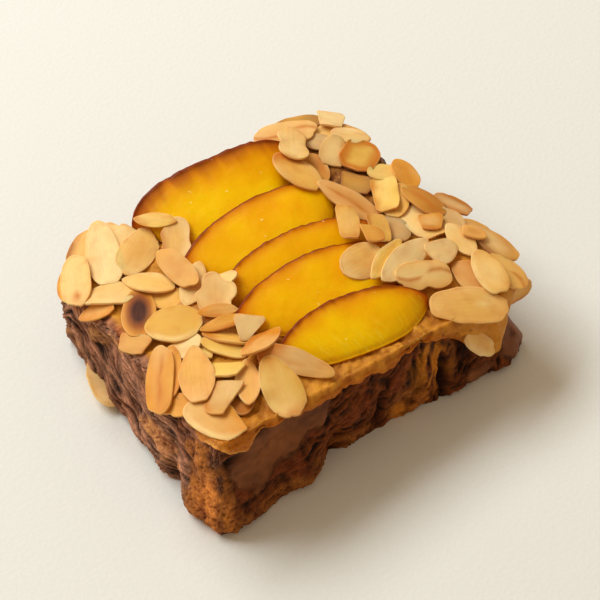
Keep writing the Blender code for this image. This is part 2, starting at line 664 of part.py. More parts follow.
def main():
    """Build the five kinds of piece and fit them to each other."""
    clear_scene()
    parts = new_collection(PART_NAME)
    cutters = new_collection("cutters")
    loose = new_collection("loose_flakes")

    slices = [PeachSlice(*row) for row in PEACH_SLICES]
    peaches = []
    for number, piece in enumerate(slices, start=1):
        peaches.append(piece.body(f"peach_slice_{number}", parts))
    peach_cutters = [grown_copy(peach, GAP, cutters) for peach in peaches]
    for number, peach in enumerate(peaches):
        for cutter in peach_cutters[number + 1:number + 3]:
            boolean(peach, "DIFFERENCE", cutter)
        tidy_solid(peach)
        peach.data.materials.append(material("peach_flesh", PEACH_COLOUR, 0.3))

    bread = bread_body("bread", parts)
    bread_cutter = bread_body("bread_cutter", cutters, grow=GAP)
    bread_cutter.hide_render = True
    bread_cutter.display_type = "WIRE"
    cream = cream_body(parts)
    boolean(cream, "DIFFERENCE", bread_cutter)

    scatter_flakes(slices, loose)
    boolean(cream, "UNION", loose)
    remove_all(loose)
    boolean(cream, "DIFFERENCE", bread_cutter)
    for cutter in peach_cutters:
        boolean(cream, "DIFFERENCE", cutter)
    tidy_solid(cream)
    cream.data.materials.append(material("almond_topping", CREAM_COLOUR, 0.6))

    x, y, z, heading, length, width, tip, fall = STUCK_FLAKE
    frame = hung_frame(x, y, z, heading, tip, fall)
    stuck = flake_body("stuck_flake", length, width, HUNG_POINT, frame, cutters)
    boolean(bread, "UNION", stuck)
    bpy.data.objects.remove(stuck, do_unlink=True)
    tidy_solid(bread)
    bread.data.materials.append(material("brioche_crust", BREAD_COLOUR, 0.7))

    centre = bpy.data.objects.new(PART_NAME + "_centre", None)
    parts.objects.link(centre)
    centre.location = (-MIDDLE[0] * MM, -MIDDLE[1] * MM, 0)
    for piece in [bread, cream, *peaches]:
        piece.parent = centre


main()
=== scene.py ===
# %% [markdown]
# # A bostock with peaches and flaked almonds
# A bostock is a thick slice of brioche that is spread with almond cream and baked a second time. This one
# also carries five wedges of peach and two heaps of flaked almonds. The solid model gives every size.
# This lesson dresses it: each solid is replaced by a finer piece that keeps its form.

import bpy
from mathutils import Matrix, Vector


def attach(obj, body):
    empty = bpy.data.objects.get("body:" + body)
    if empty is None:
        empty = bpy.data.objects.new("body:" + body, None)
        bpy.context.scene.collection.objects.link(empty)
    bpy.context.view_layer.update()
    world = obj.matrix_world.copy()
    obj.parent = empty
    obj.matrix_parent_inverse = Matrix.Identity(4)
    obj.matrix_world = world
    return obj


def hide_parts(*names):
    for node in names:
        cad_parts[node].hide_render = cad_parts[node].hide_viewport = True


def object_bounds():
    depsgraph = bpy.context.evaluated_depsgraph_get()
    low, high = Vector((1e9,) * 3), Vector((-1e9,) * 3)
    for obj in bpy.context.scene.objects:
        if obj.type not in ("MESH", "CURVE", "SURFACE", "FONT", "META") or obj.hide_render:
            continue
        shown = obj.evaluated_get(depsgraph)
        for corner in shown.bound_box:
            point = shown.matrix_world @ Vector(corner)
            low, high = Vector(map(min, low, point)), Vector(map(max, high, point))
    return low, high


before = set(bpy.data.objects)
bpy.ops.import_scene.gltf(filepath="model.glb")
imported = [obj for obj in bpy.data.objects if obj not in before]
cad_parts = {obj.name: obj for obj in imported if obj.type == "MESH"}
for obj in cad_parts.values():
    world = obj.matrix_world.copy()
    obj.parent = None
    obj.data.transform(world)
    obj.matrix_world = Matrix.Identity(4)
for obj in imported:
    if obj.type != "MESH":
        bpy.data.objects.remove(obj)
SOLID_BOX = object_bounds()
print("solid model:", [round(1000 * side, 1) for side in SOLID_BOX[1] - SOLID_BOX[0]], "mm")

# %% [markdown]
# The shapes below are worked out with numpy, which handles a whole surface at once, and are handed to
# Blender as meshes. Sculpting by hand would also do, but a formula can be read, changed and run again.
# Sizes are in millimetres, laid out about the middle of the bread. One helper turns them into metres and
# moves them, so that the origin is under the middle of the whole pastry.

# %% Tools and units
import itertools
import math
from dataclasses import dataclass

import bpy
import numpy as np
from mathutils import Matrix, Vector, noise

MM = 0.001
MIDDLE = np.array((0.3, 2.6, 0.0))   # middle of the whole pastry, seen from above


def in_metres(points):
    """Points in the model's frame, from millimetres about the middle of the bread."""
    return (np.asarray(points, float) - MIDDLE) * MM


def colour(red, green, blue):
    """A colour as a painter's chart gives it, 0 to 255, as the linear values that a shader takes."""
    shares = np.array((red, green, blue)) / 255
    linear = np.where(shares <= 0.04045, shares / 12.92, ((shares + 0.055) / 1.055) ** 2.4)
    return tuple(float(value) for value in linear)


print("golden brown, as a shader takes it:", [round(value, 3) for value in colour(214, 132, 30)])

# %% [markdown]
# A long lens from well back keeps the pastry's sides nearly parallel, so that no corner looks stretched.
# The camera looks down on the corner where the two cut sides meet, because they show how it is built.

# %% Camera
CAMERA_AIM = Vector((3.7, -0.8, 15.0))
CAMERA_TURN = math.radians(-36.5)
CAMERA_RISE = math.radians(49)
CAMERA_DISTANCE = 800.0
CAMERA_LENS = 168.0
NEAREST_SEEN = 0.05

camera = bpy.data.objects.new("camera", bpy.data.cameras.new("camera"))
bpy.context.scene.collection.objects.link(camera)
towards_camera = Vector((
    math.sin(CAMERA_TURN) * math.cos(CAMERA_RISE),
    -math.cos(CAMERA_TURN) * math.cos(CAMERA_RISE),
    math.sin(CAMERA_RISE),
))
camera.location = (CAMERA_AIM + towards_camera * CAMERA_DISTANCE) * MM
camera.rotation_euler = towards_camera.to_track_quat("Z", "Y").to_euler()
camera.data.lens = CAMERA_LENS
camera.data.clip_start = NEAREST_SEEN
bpy.context.scene.camera = camera
bpy.context.scene.view_settings.view_transform = "Standard"
print("camera stands", round(camera.location.z, 2), "m up")

# %% [markdown]
# Materials are small graphs of nodes. These helpers keep each graph short to write: they add a node, feed
# it, and hand back the socket that the next node needs. Numbers that are the same all over a surface are
# set on the shader itself.

# %% Helpers for materials
def plain_material(name, roughness, **settings):
    """A Principled material, its node tree and its shader."""
    made = bpy.data.materials.new(name)
    made.use_nodes = True
    shader = made.node_tree.nodes["Principled BSDF"]
    shader.inputs["Roughness"].default_value = roughness
    for socket, value in settings.items():
        shader.inputs[socket.replace("_", " ")].default_value = value
    return made, made.node_tree, shader


def feed(tree, socket, value):
    """Link a socket to another, or set its value."""
    if isinstance(value, bpy.types.NodeSocket):
        tree.links.new(value, socket)
    else:
        socket.default_value = (*value, 1.0) if isinstance(value, tuple) else value


def painted(tree, name, part="Color"):
    """A colour or number that the mesh carries at its points."""
    reader = tree.nodes.new("ShaderNodeAttribute")
    reader.attribute_name = name
    return reader.outputs[part]


def place(tree, stretch=(1, 1, 1), source=None):
    """Where a point lies, in millimetres, with its axes stretched."""
    if source is None:
        source = tree.nodes.new("ShaderNodeTexCoord").outputs["Object"]
        stretch = tuple(value / MM for value in stretch)
    mapping = tree.nodes.new("ShaderNodeMapping")
    mapping.inputs["Scale"].default_value = stretch
    tree.links.new(source, mapping.inputs["Vector"])
    return mapping.outputs["Vector"]


print("materials of the solid model:", len(bpy.data.materials))

# %% [markdown]
# Four more helpers make the patterns. A speckle is noise of a given size, a range decides where it shows,
# a mix lays one colour over another, and an emboss turns a height into light and shade. Fine relief is
# embossed like this, because meshes as fine as a grain of sugar would be far too heavy.

# %% Helpers for patterns
def speckle(tree, where, size, detail=4.0, roughness=0.6):
    """Soft noise whose blotches are about a size across, 0 to 1."""
    texture = tree.nodes.new("ShaderNodeTexNoise")
    tree.links.new(where, texture.inputs["Vector"])
    texture.inputs["Scale"].default_value = 1 / size
    texture.inputs["Detail"].default_value = detail
    texture.inputs["Roughness"].default_value = roughness
    return texture.outputs["Fac"]


def stretch_range(tree, value, low, high, new_low=0.0, new_high=1.0):
    """Bring one range of values onto another, and hold it there."""
    mapped = tree.nodes.new("ShaderNodeMapRange")
    for socket, number in zip(("From Min", "From Max", "To Min", "To Max"), (low, high, new_low, new_high)):
        mapped.inputs[socket].default_value = number
    tree.links.new(value, mapped.inputs["Value"])
    return mapped.outputs["Result"]


def mix(tree, share, one, two, mode="MIX"):
    """Blend two colours."""
    mixer = tree.nodes.new("ShaderNodeMix")
    mixer.data_type = "RGBA"
    mixer.blend_type = mode
    feed(tree, mixer.inputs["Factor"], share)
    feed(tree, mixer.inputs["A"], one)
    feed(tree, mixer.inputs["B"], two)
    return mixer.outputs["Result"]


def emboss(tree, height, depth, below=None):
    """A bump from a height of 0 to 1, its depth in millimetres."""
    bump = tree.nodes.new("ShaderNodeBump")
    bump.inputs["Distance"].default_value = depth * MM
    tree.links.new(height, bump.inputs["Height"])
    if below is not None:
        tree.links.new(below, bump.inputs["Normal"])
    return bump.outputs["Normal"]


# %% [markdown]
# The pastry stands on a sheet of warm white paper with a faint tooth. One wide soft light, like a window,
# stands behind and a little to the left, so that shadows fall softly forward. A dim warm sky fills them.

# %% Paper and light
FLOOR_SIZE = 3.0
TOOTH_SIZE, TOOTH_DEPTH = 1.3, 0.1
LIGHT_FROM = Vector((-0.32, 0.98, 1.16))
LIGHT_WIDTH, LIGHT_HEIGHT = 1.45, 0.65
LIGHT_POWER = 24.7
LIGHT_COLOUR = (0.95, 1.0, 1.0)
SKY_COLOUR = (1.0, 0.78, 0.53)
SKY_STRENGTH = 0.44

paper, tree, shader = plain_material("paper", 0.85)
tooth = speckle(tree, place(tree), TOOTH_SIZE, 3)
shade = mix(tree, tooth, colour(231, 231, 226), colour(237, 237, 234))
tree.links.new(shade, shader.inputs["Base Color"])
tree.links.new(emboss(tree, tooth, TOOTH_DEPTH), shader.inputs["Normal"])

bpy.ops.mesh.primitive_plane_add(size=FLOOR_SIZE)
floor = bpy.context.object
floor.name = "paper_floor"
floor.data.materials.append(paper)

lamp = bpy.data.objects.new("window_light", bpy.data.lights.new("window_light", "AREA"))
bpy.context.scene.collection.objects.link(lamp)
lamp.data.shape = "RECTANGLE"
lamp.data.size = LIGHT_WIDTH
lamp.data.size_y = LIGHT_HEIGHT
lamp.data.energy = LIGHT_POWER
lamp.data.color = LIGHT_COLOUR
lamp.location = LIGHT_FROM
lamp.rotation_euler = LIGHT_FROM.to_track_quat("Z", "Y").to_euler()

sky = bpy.data.worlds.new("studio")
bpy.context.scene.world = sky
sky.use_nodes = True
sky.node_tree.nodes["Background"].inputs["Color"].default_value = (*SKY_COLOUR, 1)
sky.node_tree.nodes["Background"].inputs["Strength"].default_value = SKY_STRENGTH
print("light", round(LIGHT_FROM.length, 2), "m away")

# %% [markdown]
# Nothing baked is smooth. Most of its relief is a cloud, noise that rises and falls softly, like dough. It
# comes from hashing whole numbers, that is, from mixing their bits until they look random. Blender has
# noise of its own, but only for one point at a time, and here there are hundreds of thousands.

# %% Clouds of noise
HASH_START = 2654435761
HASH_AXES = (73856093, 19349663, 83492791)
HASH_MIXERS = (1274126177, 2246822519)
HASH_LEVELS = 65536


def hashed(cells, seed):
    """A number from 0 to 1 for each cell of a grid."""
    mixed = np.full(cells.shape[:-1], seed * HASH_START % 2 ** 32, np.int64)
    for axis, factor in enumerate(HASH_AXES):
        mixed ^= cells[..., axis].astype(np.int64) * factor
    mixed = (mixed ^ (mixed >> 13)) * HASH_MIXERS[0] & 0x7FFFFFFF
    mixed = (mixed ^ (mixed >> 15)) * HASH_MIXERS[1] & 0x7FFFFFFF
    return (mixed ^ (mixed >> 12)) % HASH_LEVELS / (HASH_LEVELS - 1)


def cloud(points, size, seed=0):
    """Smooth noise from -1 to 1 whose lumps are about a size across."""
    scaled = np.asarray(points, float) / size
    cells = np.floor(scaled)
    share = scaled - cells
    share = share * share * (3 - 2 * share)
    total = np.zeros(scaled.shape[:-1])
    for corner in itertools.product((0, 1), repeat=3):
        weight = np.prod(np.where(np.array(corner) == 1, share, 1 - share), axis=-1)
        total += weight * hashed(cells + corner, seed)
    return total * 2 - 1


def clouds(points, layers):
    """Clouds laid over each other. Each layer has its size, its seed and its height."""
    return sum(height * cloud(points, size, seed) for size, seed, height in layers)


def ridges(points, size, seed=0):
    """Crests that run between the lumps of a cloud: 1 on a crest, down to -3 beside it."""
    return 1 - 4 * np.abs(cloud(points, size, seed))


print("cloud at one point:", cloud(np.array((1.5, 2.5, 3.5)), 2.0).round(3))

# %% [markdown]
# The other relief is pores, round hollows scattered at random, like the holes of a crumb. Each cell of a
# grid has one pore somewhere in it. Two small curves, a soft step and a bell, then say how far a pore, a
# lobe or a stain reaches and how softly it ends.

# %% Pores and soft edges
BELL_STEEPNESS = 1.4


def pores(points, size, seed=0):
    """Distance to the nearest pore's middle, in sizes: 0 in a pore, about 0.8 between them."""
    scaled = np.asarray(points, float) / size
    cells = np.floor(scaled)
    nearest = np.full(scaled.shape[:-1], np.inf)
    for step in itertools.product((-1, 0, 1), repeat=3):
        cell = cells + step
        middle = np.stack([cell[..., axis] + hashed(cell, seed + axis + 1) for axis in range(3)], axis=-1)
        nearest = np.minimum(nearest, np.linalg.norm(middle - scaled, axis=-1))
    return nearest


def step_up(value, low, high):
    """0 below low, 1 above high, smooth between."""
    share = np.clip((value - low) / (high - low), 0, 1)
    return share * share * (3 - 2 * share)


def bell(distance, width):
    """A smooth bump, 1 in the middle and nearly 0 beyond its width."""
    return np.exp(-((distance / width) ** 2) * BELL_STEEPNESS)


def fade(distance, width):
    """Like a bell, but a little wider and with longer ends."""
    return np.exp(-((distance / width) ** 2))


print("at its width, a bell is", bell(1.0, 1.0).round(2), "and a fade", fade(1.0, 1.0).round(2))

# %% [markdown]
# The slice is a rounded square whose foot is a little larger than its rim. Its four corners differ in
# height, because the loaf was cut by hand. These are the solid model's own numbers, so that the finer
# bread stands exactly where the plain solid does.

# %% The outline and the height of the slice
FOOT_CORNERS = ((-57.6, -45.6), (52.6, -42.8), (51.0, 44.0), (-52.6, 44.0))
RIM_CORNERS = ((-54.0, -40.5), (50.5, -39.5), (48.0, 44.0), (-51.5, 44.0))
CORNER_RADII = (3.5, 10.0, 9.0, 10.0)
CREAM_HEIGHTS = (34.5, 28.0, 30.0, 25.5)
CREAM_CROWN = 1.6
CREAM_THICKNESS = 2.6
FOOT_ROUNDING = 1.4


def rounded_outline(corners, side_steps, corner_steps):
    """Points round a square with rounded corners."""
    corners = [np.array(corner) for corner in corners]
    points = []
    for index, corner in enumerate(corners):
        before, after = corners[index - 1], corners[(index + 1) % 4]
        radius, next_radius = CORNER_RADII[index], CORNER_RADII[(index + 1) % 4]
        start = corner + (before - corner) / np.linalg.norm(before - corner) * radius
        end = corner + (after - corner) / np.linalg.norm(after - corner) * radius
        far_end = after + (corner - after) / np.linalg.norm(corner - after) * next_radius
        for step in range(corner_steps):
            share = step / corner_steps
            one, two = start + (corner - start) * share, corner + (end - corner) * share
            points.append(one + (two - one) * share)
        points += [end + (far_end - end) * step / side_steps for step in range(side_steps)]
    return np.array(points)


def cream_top(x, y):
    """Height of the almond cream's upper face."""
    u = (x - RIM_CORNERS[0][0]) / (RIM_CORNERS[1][0] - RIM_CORNERS[0][0])
    v = (y - RIM_CORNERS[0][1]) / (RIM_CORNERS[3][1] - RIM_CORNERS[0][1])
    front_left, front_right, back_right, back_left = CREAM_HEIGHTS
    front = front_left + (front_right - front_left) * u
    back = back_left + (back_right - back_left) * u
    crown = CREAM_CROWN * np.maximum(0, 4 * u * (1 - u)) * np.maximum(0, 4 * v * (1 - v))
    return front + (back - front) * v + crown


class Outline:
    """The foot and the rim of the slice, with the way each point faces."""

    def __init__(self, side_steps, corner_steps):
        self.foot = rounded_outline(FOOT_CORNERS, side_steps, corner_steps)
        self.rim = rounded_outline(RIM_CORNERS, side_steps, corner_steps)
        along = np.roll(self.foot, -1, 0) - np.roll(self.foot, 1, 0)
        out = np.stack([along[:, 1], -along[:, 0]], axis=1)
        self.facing = out / np.linalg.norm(out, axis=1)[:, None]
        self.bread_height = cream_top(self.rim[:, 0], self.rim[:, 1]) - CREAM_THICKNESS


coarse = Outline(side_steps=27, corner_steps=4)
fine = Outline(side_steps=256, corner_steps=24)
print("points round the slice:", len(fine.foot))

# %% [markdown]
# The sides show how the brioche tore and baked: a smooth sunken panel, lobes, grooves, a step where the
# foot is missing, and a pocket under the almonds. Each is a soft lump or hollow at its place on a side. A
# brush in Sculpt Mode would press them in too, but here a row of a table can be moved by a millimetre. The
# waves over the whole crust are Blender's own noise, because the solid model has the same ones.

# %% Lobes and hollows of the crust
CRUST_RELIEF = (
    # side, place along it, height, half width, half height, depth
    ("front", -52, 6, 6, 7, 1.0),      # ragged foot of the nearest corner
    ("front", -36, 20, 12, 8, -1.6),   # smooth sunken panel
    ("front", -35, 2, 6, 8, -1.0),
    ("front", -27, 4, 4, 5, 1.2),      # crumbs under the panel
    ("front", -14.8, 6, 5, 10, -4.8),  # step
    ("front", -5, 3, 17, 9, -4.0),     # long recess of the foot beyond it
    ("front", -10, 16, 7, 9, 1.2),     # streaked lobe
    ("front", 0, 10, 2, 10, -2.4),     # groove
    ("front", 6.5, 5, 4.5, 8, -2.4),   # recess
    ("front", 15, 16, 5, 9, 0.8),      # torn strands
    ("front", 16, 4, 8, 8, -2.4),
    ("front", 22, 11, 2, 10, -2.4),    # second groove
    ("front", 31, 6, 7, 7, 0.8),       # dark lobe
    ("front", 46, 4, 7, 6, 2.6),       # rounded lobe of the right corner
    ("front", 48, 17, 6, 8, -1.6),     # and the hollow above it
    ("left", 34, 5, 8, 8, -0.6),
    ("left", 15, 22, 5, 5, -3.2),      # dark pocket under the almonds
    ("left", 11, 4, 6, 6, 1.6),
    ("left", -8, 20, 12, 5, 1.2),      # layered ridge
    ("left", -13, 4, 8, 7, 2.4),
    ("left", -22, 3, 3, 7, -2.2),
    ("left", -34, 24, 6, 6, 1.8),      # open crumb under the cream
    ("left", -33, 5, 8, 9, 3.4),       # ragged foot
    ("right", -15, 24, 22, 14, 3.4),   # bulge of the right side
    ("right", 5, 6, 12, 6, 1.0),
    ("right", 26, 16, 8, 8, -1.4),
    ("right", -38, 3, 6, 6, 3.4),
    ("right", -39, 16, 6, 8, -2.6),
    ("back", 30, 8, 12, 7, 1.2),
    ("back", 2, 14, 10, 7, -1.6),
    ("back", -28, 6, 12, 6, 1.4),
)
CRUST_WAVES = ((13.0, 1.0), (6.0, 0.55))   # length and height
FLATTENING = 1.4                           # the waves are wider than they are high
SIDE_FACES = {"front": (0, -1), "back": (0, 1), "left": (-1, 0), "right": (1, 0)}


def side_share(side, facing):
    """How much points with these outward directions belong to a side."""
    return np.maximum(0, facing @ np.array(SIDE_FACES[side])) ** 2


def place_along(side, x, y):
    """The coordinate that runs along a side."""
    return x if side in ("front", "back") else y


def stretch_share(side, middle, half_width, x, y, facing):
    """How much points belong to a stretch of a side, whose ends are soft."""
    return bell(place_along(side, x, y) - middle, half_width) * side_share(side, facing)


def crust_relief(x, y, z, facing):
    """How far the crust stands out."""
    depth = np.zeros(np.broadcast(x, z).shape)
    for side, middle, height, half_width, half_height, size in CRUST_RELIEF:
        lump = stretch_share(side, middle, half_width, x, y, facing) * bell(z - height, half_height)
        depth += size * lump
    points = np.stack(np.broadcast_arrays(x, y, z * FLATTENING), axis=-1)
    for wavelength, size in CRUST_WAVES:
        waves = [noise.noise(Vector(point) / wavelength) for point in points.reshape(-1, 3)]
        depth += size * np.array(waves).reshape(depth.shape)
    return depth


print("lobes and hollows:", len(CRUST_RELIEF))

# %% [markdown]
# The cream's edge has to start on the crust, wherever that was pushed to, and it has to stay clear of the
# places where the bread shows above it. Two helpers answer both questions at any point of the outline.

# %% Points on the crust and the bare rim
BARE_RIM = (
    # side, place along it, half width, how much higher the bread shows where the cream is thin
    ("front", -40.5, 3.0, 1.8),
    ("front", 13, 5, 1.7),
    ("left", 4, 22, 1.7),
)


def crust_points(outline, heights, out):
    """Points of the bread's side at given heights, pushed outward."""
    level = np.clip(heights / outline.bread_height, 0, 1)[..., None]
    flat = outline.foot * (1 - level) + outline.rim * level
    relief = crust_relief(flat[..., 0], flat[..., 1], heights, outline.facing)
    flat = flat + outline.facing * (relief + out)[..., None]
    return np.concatenate([flat, np.broadcast_to(heights, flat.shape[:-1])[..., None]], axis=-1)


def bare_rim(outline):
    """How much higher the bread reaches at the rim, where the cream was spread thin."""
    return np.max([height * stretch_share(*stretch, *outline.rim.T, outline.facing)
                   for *stretch, height in BARE_RIM], axis=0)


fine.bare = bare_rim(fine)
fine.bread_height = fine.bread_height + fine.bare
print("bare rim up to", fine.bare.max().round(1), "mm")

# %% [markdown]
# Every surface here is a grid of points that closes on itself: rings round the bread, cross-sections
# along a peach. One helper joins such rings with faces and closes both ends on a point, and another draws
# points in softly where noise carried them out of the solid model's box.

# %% From rings of points to a mesh
BOX_MARGIN = 0.05 * MM
BOX_SIDES = np.array(((1, 1, -9), (-1, -1, -1)))   # the foot has its limit well below the floor
BOX_SOFTNESS = 0.15 * MM
FAR_OUT, FAR_IN = -40, 8                           # in softnesses from the limit


def skin_rings(rings, start, end):
    """Points and faces of a closed surface through equal rings."""
    rows, count = rings.shape[:2]
    points = np.concatenate([rings.reshape(-1, 3), [start], [end]])
    lower = np.arange(rows * count).reshape(rows, count)
    after = np.roll(lower, -1, 1)
    quads = np.stack([lower[:-1], after[:-1], after[1:], lower[1:]], axis=-1).reshape(-1, 4)
    first, last = rows * count, rows * count + 1
    caps = [(b, a, first) for a, b in zip(lower[0], after[0])]
    caps += [(a, b, last) for a, b in zip(lower[-1], after[-1])]
    return points, quads.tolist() + [tuple(int(i) for i in cap) for cap in caps]


def keep_inside(points):
    """The same points, but drawn in softly where they would leave the solid model's box."""
    low, high = np.array(SOLID_BOX) + BOX_SIDES * BOX_MARGIN
    for limit, sign in ((low, 1), (high, -1)):
        room = np.clip(sign * (points - limit) / BOX_SOFTNESS, FAR_OUT, FAR_IN)
        drawn_in = limit + sign * BOX_SOFTNESS * np.log1p(np.exp(room))
        points = np.where(room < FAR_IN, drawn_in, points)
    return points


print("a ring of four points has", len(skin_rings(np.zeros((1, 4, 3)), (0, 0, 0), (0, 0, 1))[1]), "faces")

# %% [markdown]
# A piece is a mesh with a material that rides on the model and stands for one of its solids. Colours are
# painted on the points of the mesh, because a formula that shapes a surface also knows how it browned. No
# unwrapping is needed for that, and a fourth value rides along with each colour.

# %% Pieces and paint
def make_piece(name, points, faces, material, slot, nodes, **paint):
    """A smooth mesh object that rides on the pastry and stands for solids of the model."""
    mesh = bpy.data.meshes.new(name)
    mesh.from_pydata(keep_inside(in_metres(points)).tolist(), [], faces)
    mesh.materials.append(material)
    mesh.shade_smooth()
    for title, values in paint.items():
        kind, field = ("FLOAT_COLOR", "color") if values.shape[-1] == 4 else ("FLOAT_VECTOR", "vector")
        layer = mesh.attributes.new(title, kind, "POINT")
        layer.data.foreach_set(field, values.astype(np.float32).ravel())
    piece = bpy.data.objects.new(name, mesh)
    bpy.context.scene.collection.objects.link(piece)
    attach(piece, "root")
    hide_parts(*nodes)
    print(name, "has", len(mesh.polygons), "faces")
    return piece


def tint(base, other, share):
    """Mix two colours at each point."""
    share = np.clip(share, 0, 1)[..., None]
    return np.asarray(base) * (1 - share) + np.asarray(other) * share


def coats(ground, *layers):
    """A colour with others laid over it. Each layer is a colour and its share at each point."""
    for layer, share in layers:
        ground = tint(ground, layer, share)
    return ground


def with_fourth(values, fourth):
    """Colours or directions with a fourth value, such as gloss, one row for each point."""
    fourth = np.broadcast_to(fourth, values.shape[:-1])[..., None]
    return np.concatenate([values, fourth], axis=-1).reshape(-1, 4)


def with_ends(values):
    """Values for the rings' points, and for the two points that close them."""
    return np.concatenate([values, values[:1], values[-1:]])


print("halfway from black to white:", tint((0, 0, 0), (1, 1, 1), 0.5))

# %% [markdown]
# The cut sides of a baked brioche are not one texture. There are dark strands that run along the layers,
# open crumb where it tore, and smooth syrup-soaked panels. Each zone is a soft patch at its place, and the
# zones decide both how the surface is carved and how it is coloured.

# %% Zones of the sides
CRUMB_ZONES = (
    # side, place along it, height, half width, half height, strength
    ("front", -54, 9, 5, 16, 1.0),
    ("front", -40, 2, 16, 6, 1.0),
    ("front", -22, 3, 6, 7, 0.8),
    ("front", -6, 3, 12, 4, 0.6),
    ("front", 7, 8, 5, 9, 1.0),
    ("front", 14, 3, 6, 4, 0.7),
    ("left", -39, 8, 11, 15, 1.0),
    ("left", -14, 12, 11, 4.5, 1.0),
    ("left", -33, 26, 6, 6, 1.0),
    ("left", -37, 18, 6, 8, 0.9),
    ("left", 22, 21, 4, 5, 0.8),
    ("left", 11, 27, 5, 4, 1.0),
    ("left", -12, 28, 6, 3, 0.9),
    ("left", 36, 3, 7, 5, 0.7),
    ("right", -20, 12, 16, 9, 0.7),
    ("right", 22, 8, 14, 7, 0.8),
    ("back", 20, 9, 14, 7, 0.8),
    ("back", -24, 14, 12, 8, 0.6),
)
PANEL_ZONES = (     # smooth and soaked with syrup
    ("front", -43, 22, 9, 13, 1.0),
    ("front", -32, 24, 10, 12, 1.0),
    ("front", -24, 27, 9, 9, 0.9),
    ("front", 48, 8, 7, 8, 0.7),
    ("front", 34, 4, 8, 7, 0.6),
    ("right", -36, 10, 10, 14, 0.8),
    ("left", 35, 2, 9, 5, 0.5),
    ("back", -4, 16, 10, 9, 0.8),
)
AMBER_ZONES = (     # caramel that glows between the strands
    ("front", -57, 14, 3, 14, 0.6),
    ("left", -46, 14, 2.5, 14, 0.7),
    ("front", 18, 18, 7, 12, 1.0),
    ("front", 8, 3, 3, 4, 0.8),
    ("back", 38, 18, 7, 9, 0.8),
)
LIT_CRUMB_ZONES = (    # crumb painted lighter: partly pale crumb, partly painted light where light falls on it
    ("left", -39, 12, 6, 10, 1.0),
    ("left", -46, 8, 4, 8, 0.5),
    ("left", -14, 12, 10, 5, 0.8),
    ("left", 11, 27, 5, 4, 0.7),
    ("front", -55, 8, 3, 8, 0.6),
    ("front", 12, 5, 8, 6, 0.5),
)
SHADOW_ZONES = (    # deep tears, nearly black
    ("left", 8, 20, 4, 3, 0.35),
    ("left", -24, 4, 7, 3, 0.35),
    ("left", -41, 25, 2.0, 4, 0.6),
    ("front", -50.5, 26, 4.5, 2.2, 1.0),
    ("front", -42, 31, 5, 1.2, 0.6),
    ("front", 30, 18, 3.5, 8, 1.0),
    ("front", 0.5, 9, 1.6, 9, 0.9),
    ("front", 22.5, 8, 1.6, 9, 0.9),
)
ZONE_FULLNESS = 1.3      # how broadly a patch keeps its full strength


def zone(zones, x, y, z, facing):
    """How strongly each point belongs to the patches of a list."""
    total = np.zeros(np.broadcast(x, z).shape)
    for side, middle, height, half_width, half_height, strength in zones:
        patch = stretch_share(side, middle, half_width, x, y, facing) * bell(z - height, half_height)
        total = np.maximum(total, strength * patch)
    return np.clip(total * ZONE_FULLNESS, 0, 1)


print("patches of open crumb:", len(CRUMB_ZONES), "and of panel:", len(PANEL_ZONES))

# %% [markdown]
# A torn brioche pulls apart in strands. Each patch of the sides has its own direction for them, and noise
# that is stretched that way makes long crests. Neighbouring patches blend into each other. Hairs would be
# truer still, but strands this short are part of the crust, so they are carved into it.

# %% The directions of the strands
STRAND_PATCHES = (
    # side, place along it, half width, how steeply the strands rise in degrees
    ("left", 26, 15, 27),
    ("left", 4, 13, 16),
    ("left", -20, 15, -4),
    ("left", -42, 8, 40),
    ("front", -44, 12, 8),
    ("front", -12, 12, 24),
    ("front", 4, 7, 52),
    ("front", 17, 7, 84),
    ("front", 30, 6, 40),
    ("front", 46, 9, 78),
    ("right", -22, 16, 12),
    ("right", 10, 16, -14),
    ("right", 36, 10, 30),
    ("back", 38, 12, 20),
    ("back", 10, 16, -10),
    ("back", -20, 14, 26),
    ("back", -44, 9, 4),
)
PATCH_OVERLAP = 1.3
STRAND_WANDER, WANDER_SIZE, WANDER_SEED = 1.1, 8, 6
STRAND_DEPTH = 9.0       # strands change their pattern over this distance into the bread
PATCH_APART = 20.0       # keeps the patterns of two patches from matching
BARELY = 1e-6


def strand_patches(points, facing):
    """For each patch: how strongly each point belongs to it, and where it lies along and across strands."""
    x, y = points[..., 0], points[..., 1]
    z = points[..., 2] + STRAND_WANDER * cloud(points, WANDER_SIZE, WANDER_SEED)
    along = x * np.abs(facing[:, 1]) + y * np.abs(facing[:, 0])
    for side, middle, half_width, steepness in STRAND_PATCHES:
        weight = stretch_share(side, middle, PATCH_OVERLAP * half_width, x, y, facing) ** 2
        turn = math.radians(steepness)
        run = along * math.cos(turn) + z * math.sin(turn)
        rise = z * math.cos(turn) - along * math.sin(turn)
        yield weight, np.stack([run, rise, (x - y) / STRAND_DEPTH], axis=-1)


def strand_noise(points, facing, kind, length, width, seed):
    """Noise whose lumps are a length long and a width across, turned with the strands of each patch."""
    total, weights = np.zeros(points.shape[:-1]), np.full(points.shape[:-1], BARELY)
    for weight, spots in strand_patches(points, facing):
        total += weight * kind(spots / (length, width, 1.0), 1.0, seed)
        weights += weight
    return total / weights


def strand_coordinates(points, facing):
    """Along and across the strands of the patch that each point belongs to most, and how surely it does."""
    strongest, second = np.zeros((2, *points.shape[:-1]))
    chosen = np.zeros(points.shape)
    for number, (weight, spots) in enumerate(strand_patches(points, facing)):
        stronger = weight > strongest
        second = np.where(stronger, strongest, np.maximum(second, weight))
        strongest = np.where(stronger, weight, strongest)
        chosen = np.where(stronger[..., None], spots + (0, 0, PATCH_APART * number), chosen)
    return chosen, 1 - second / np.maximum(strongest, BARELY)


print("patches of strands:", len(STRAND_PATCHES))

# %% [markdown]
# The bread is a stack of rings from foot to rim, as many as it takes to carry strands half a millimetre
# wide. The solid's own relief pushes them in and out first, and the foot is rounded under.

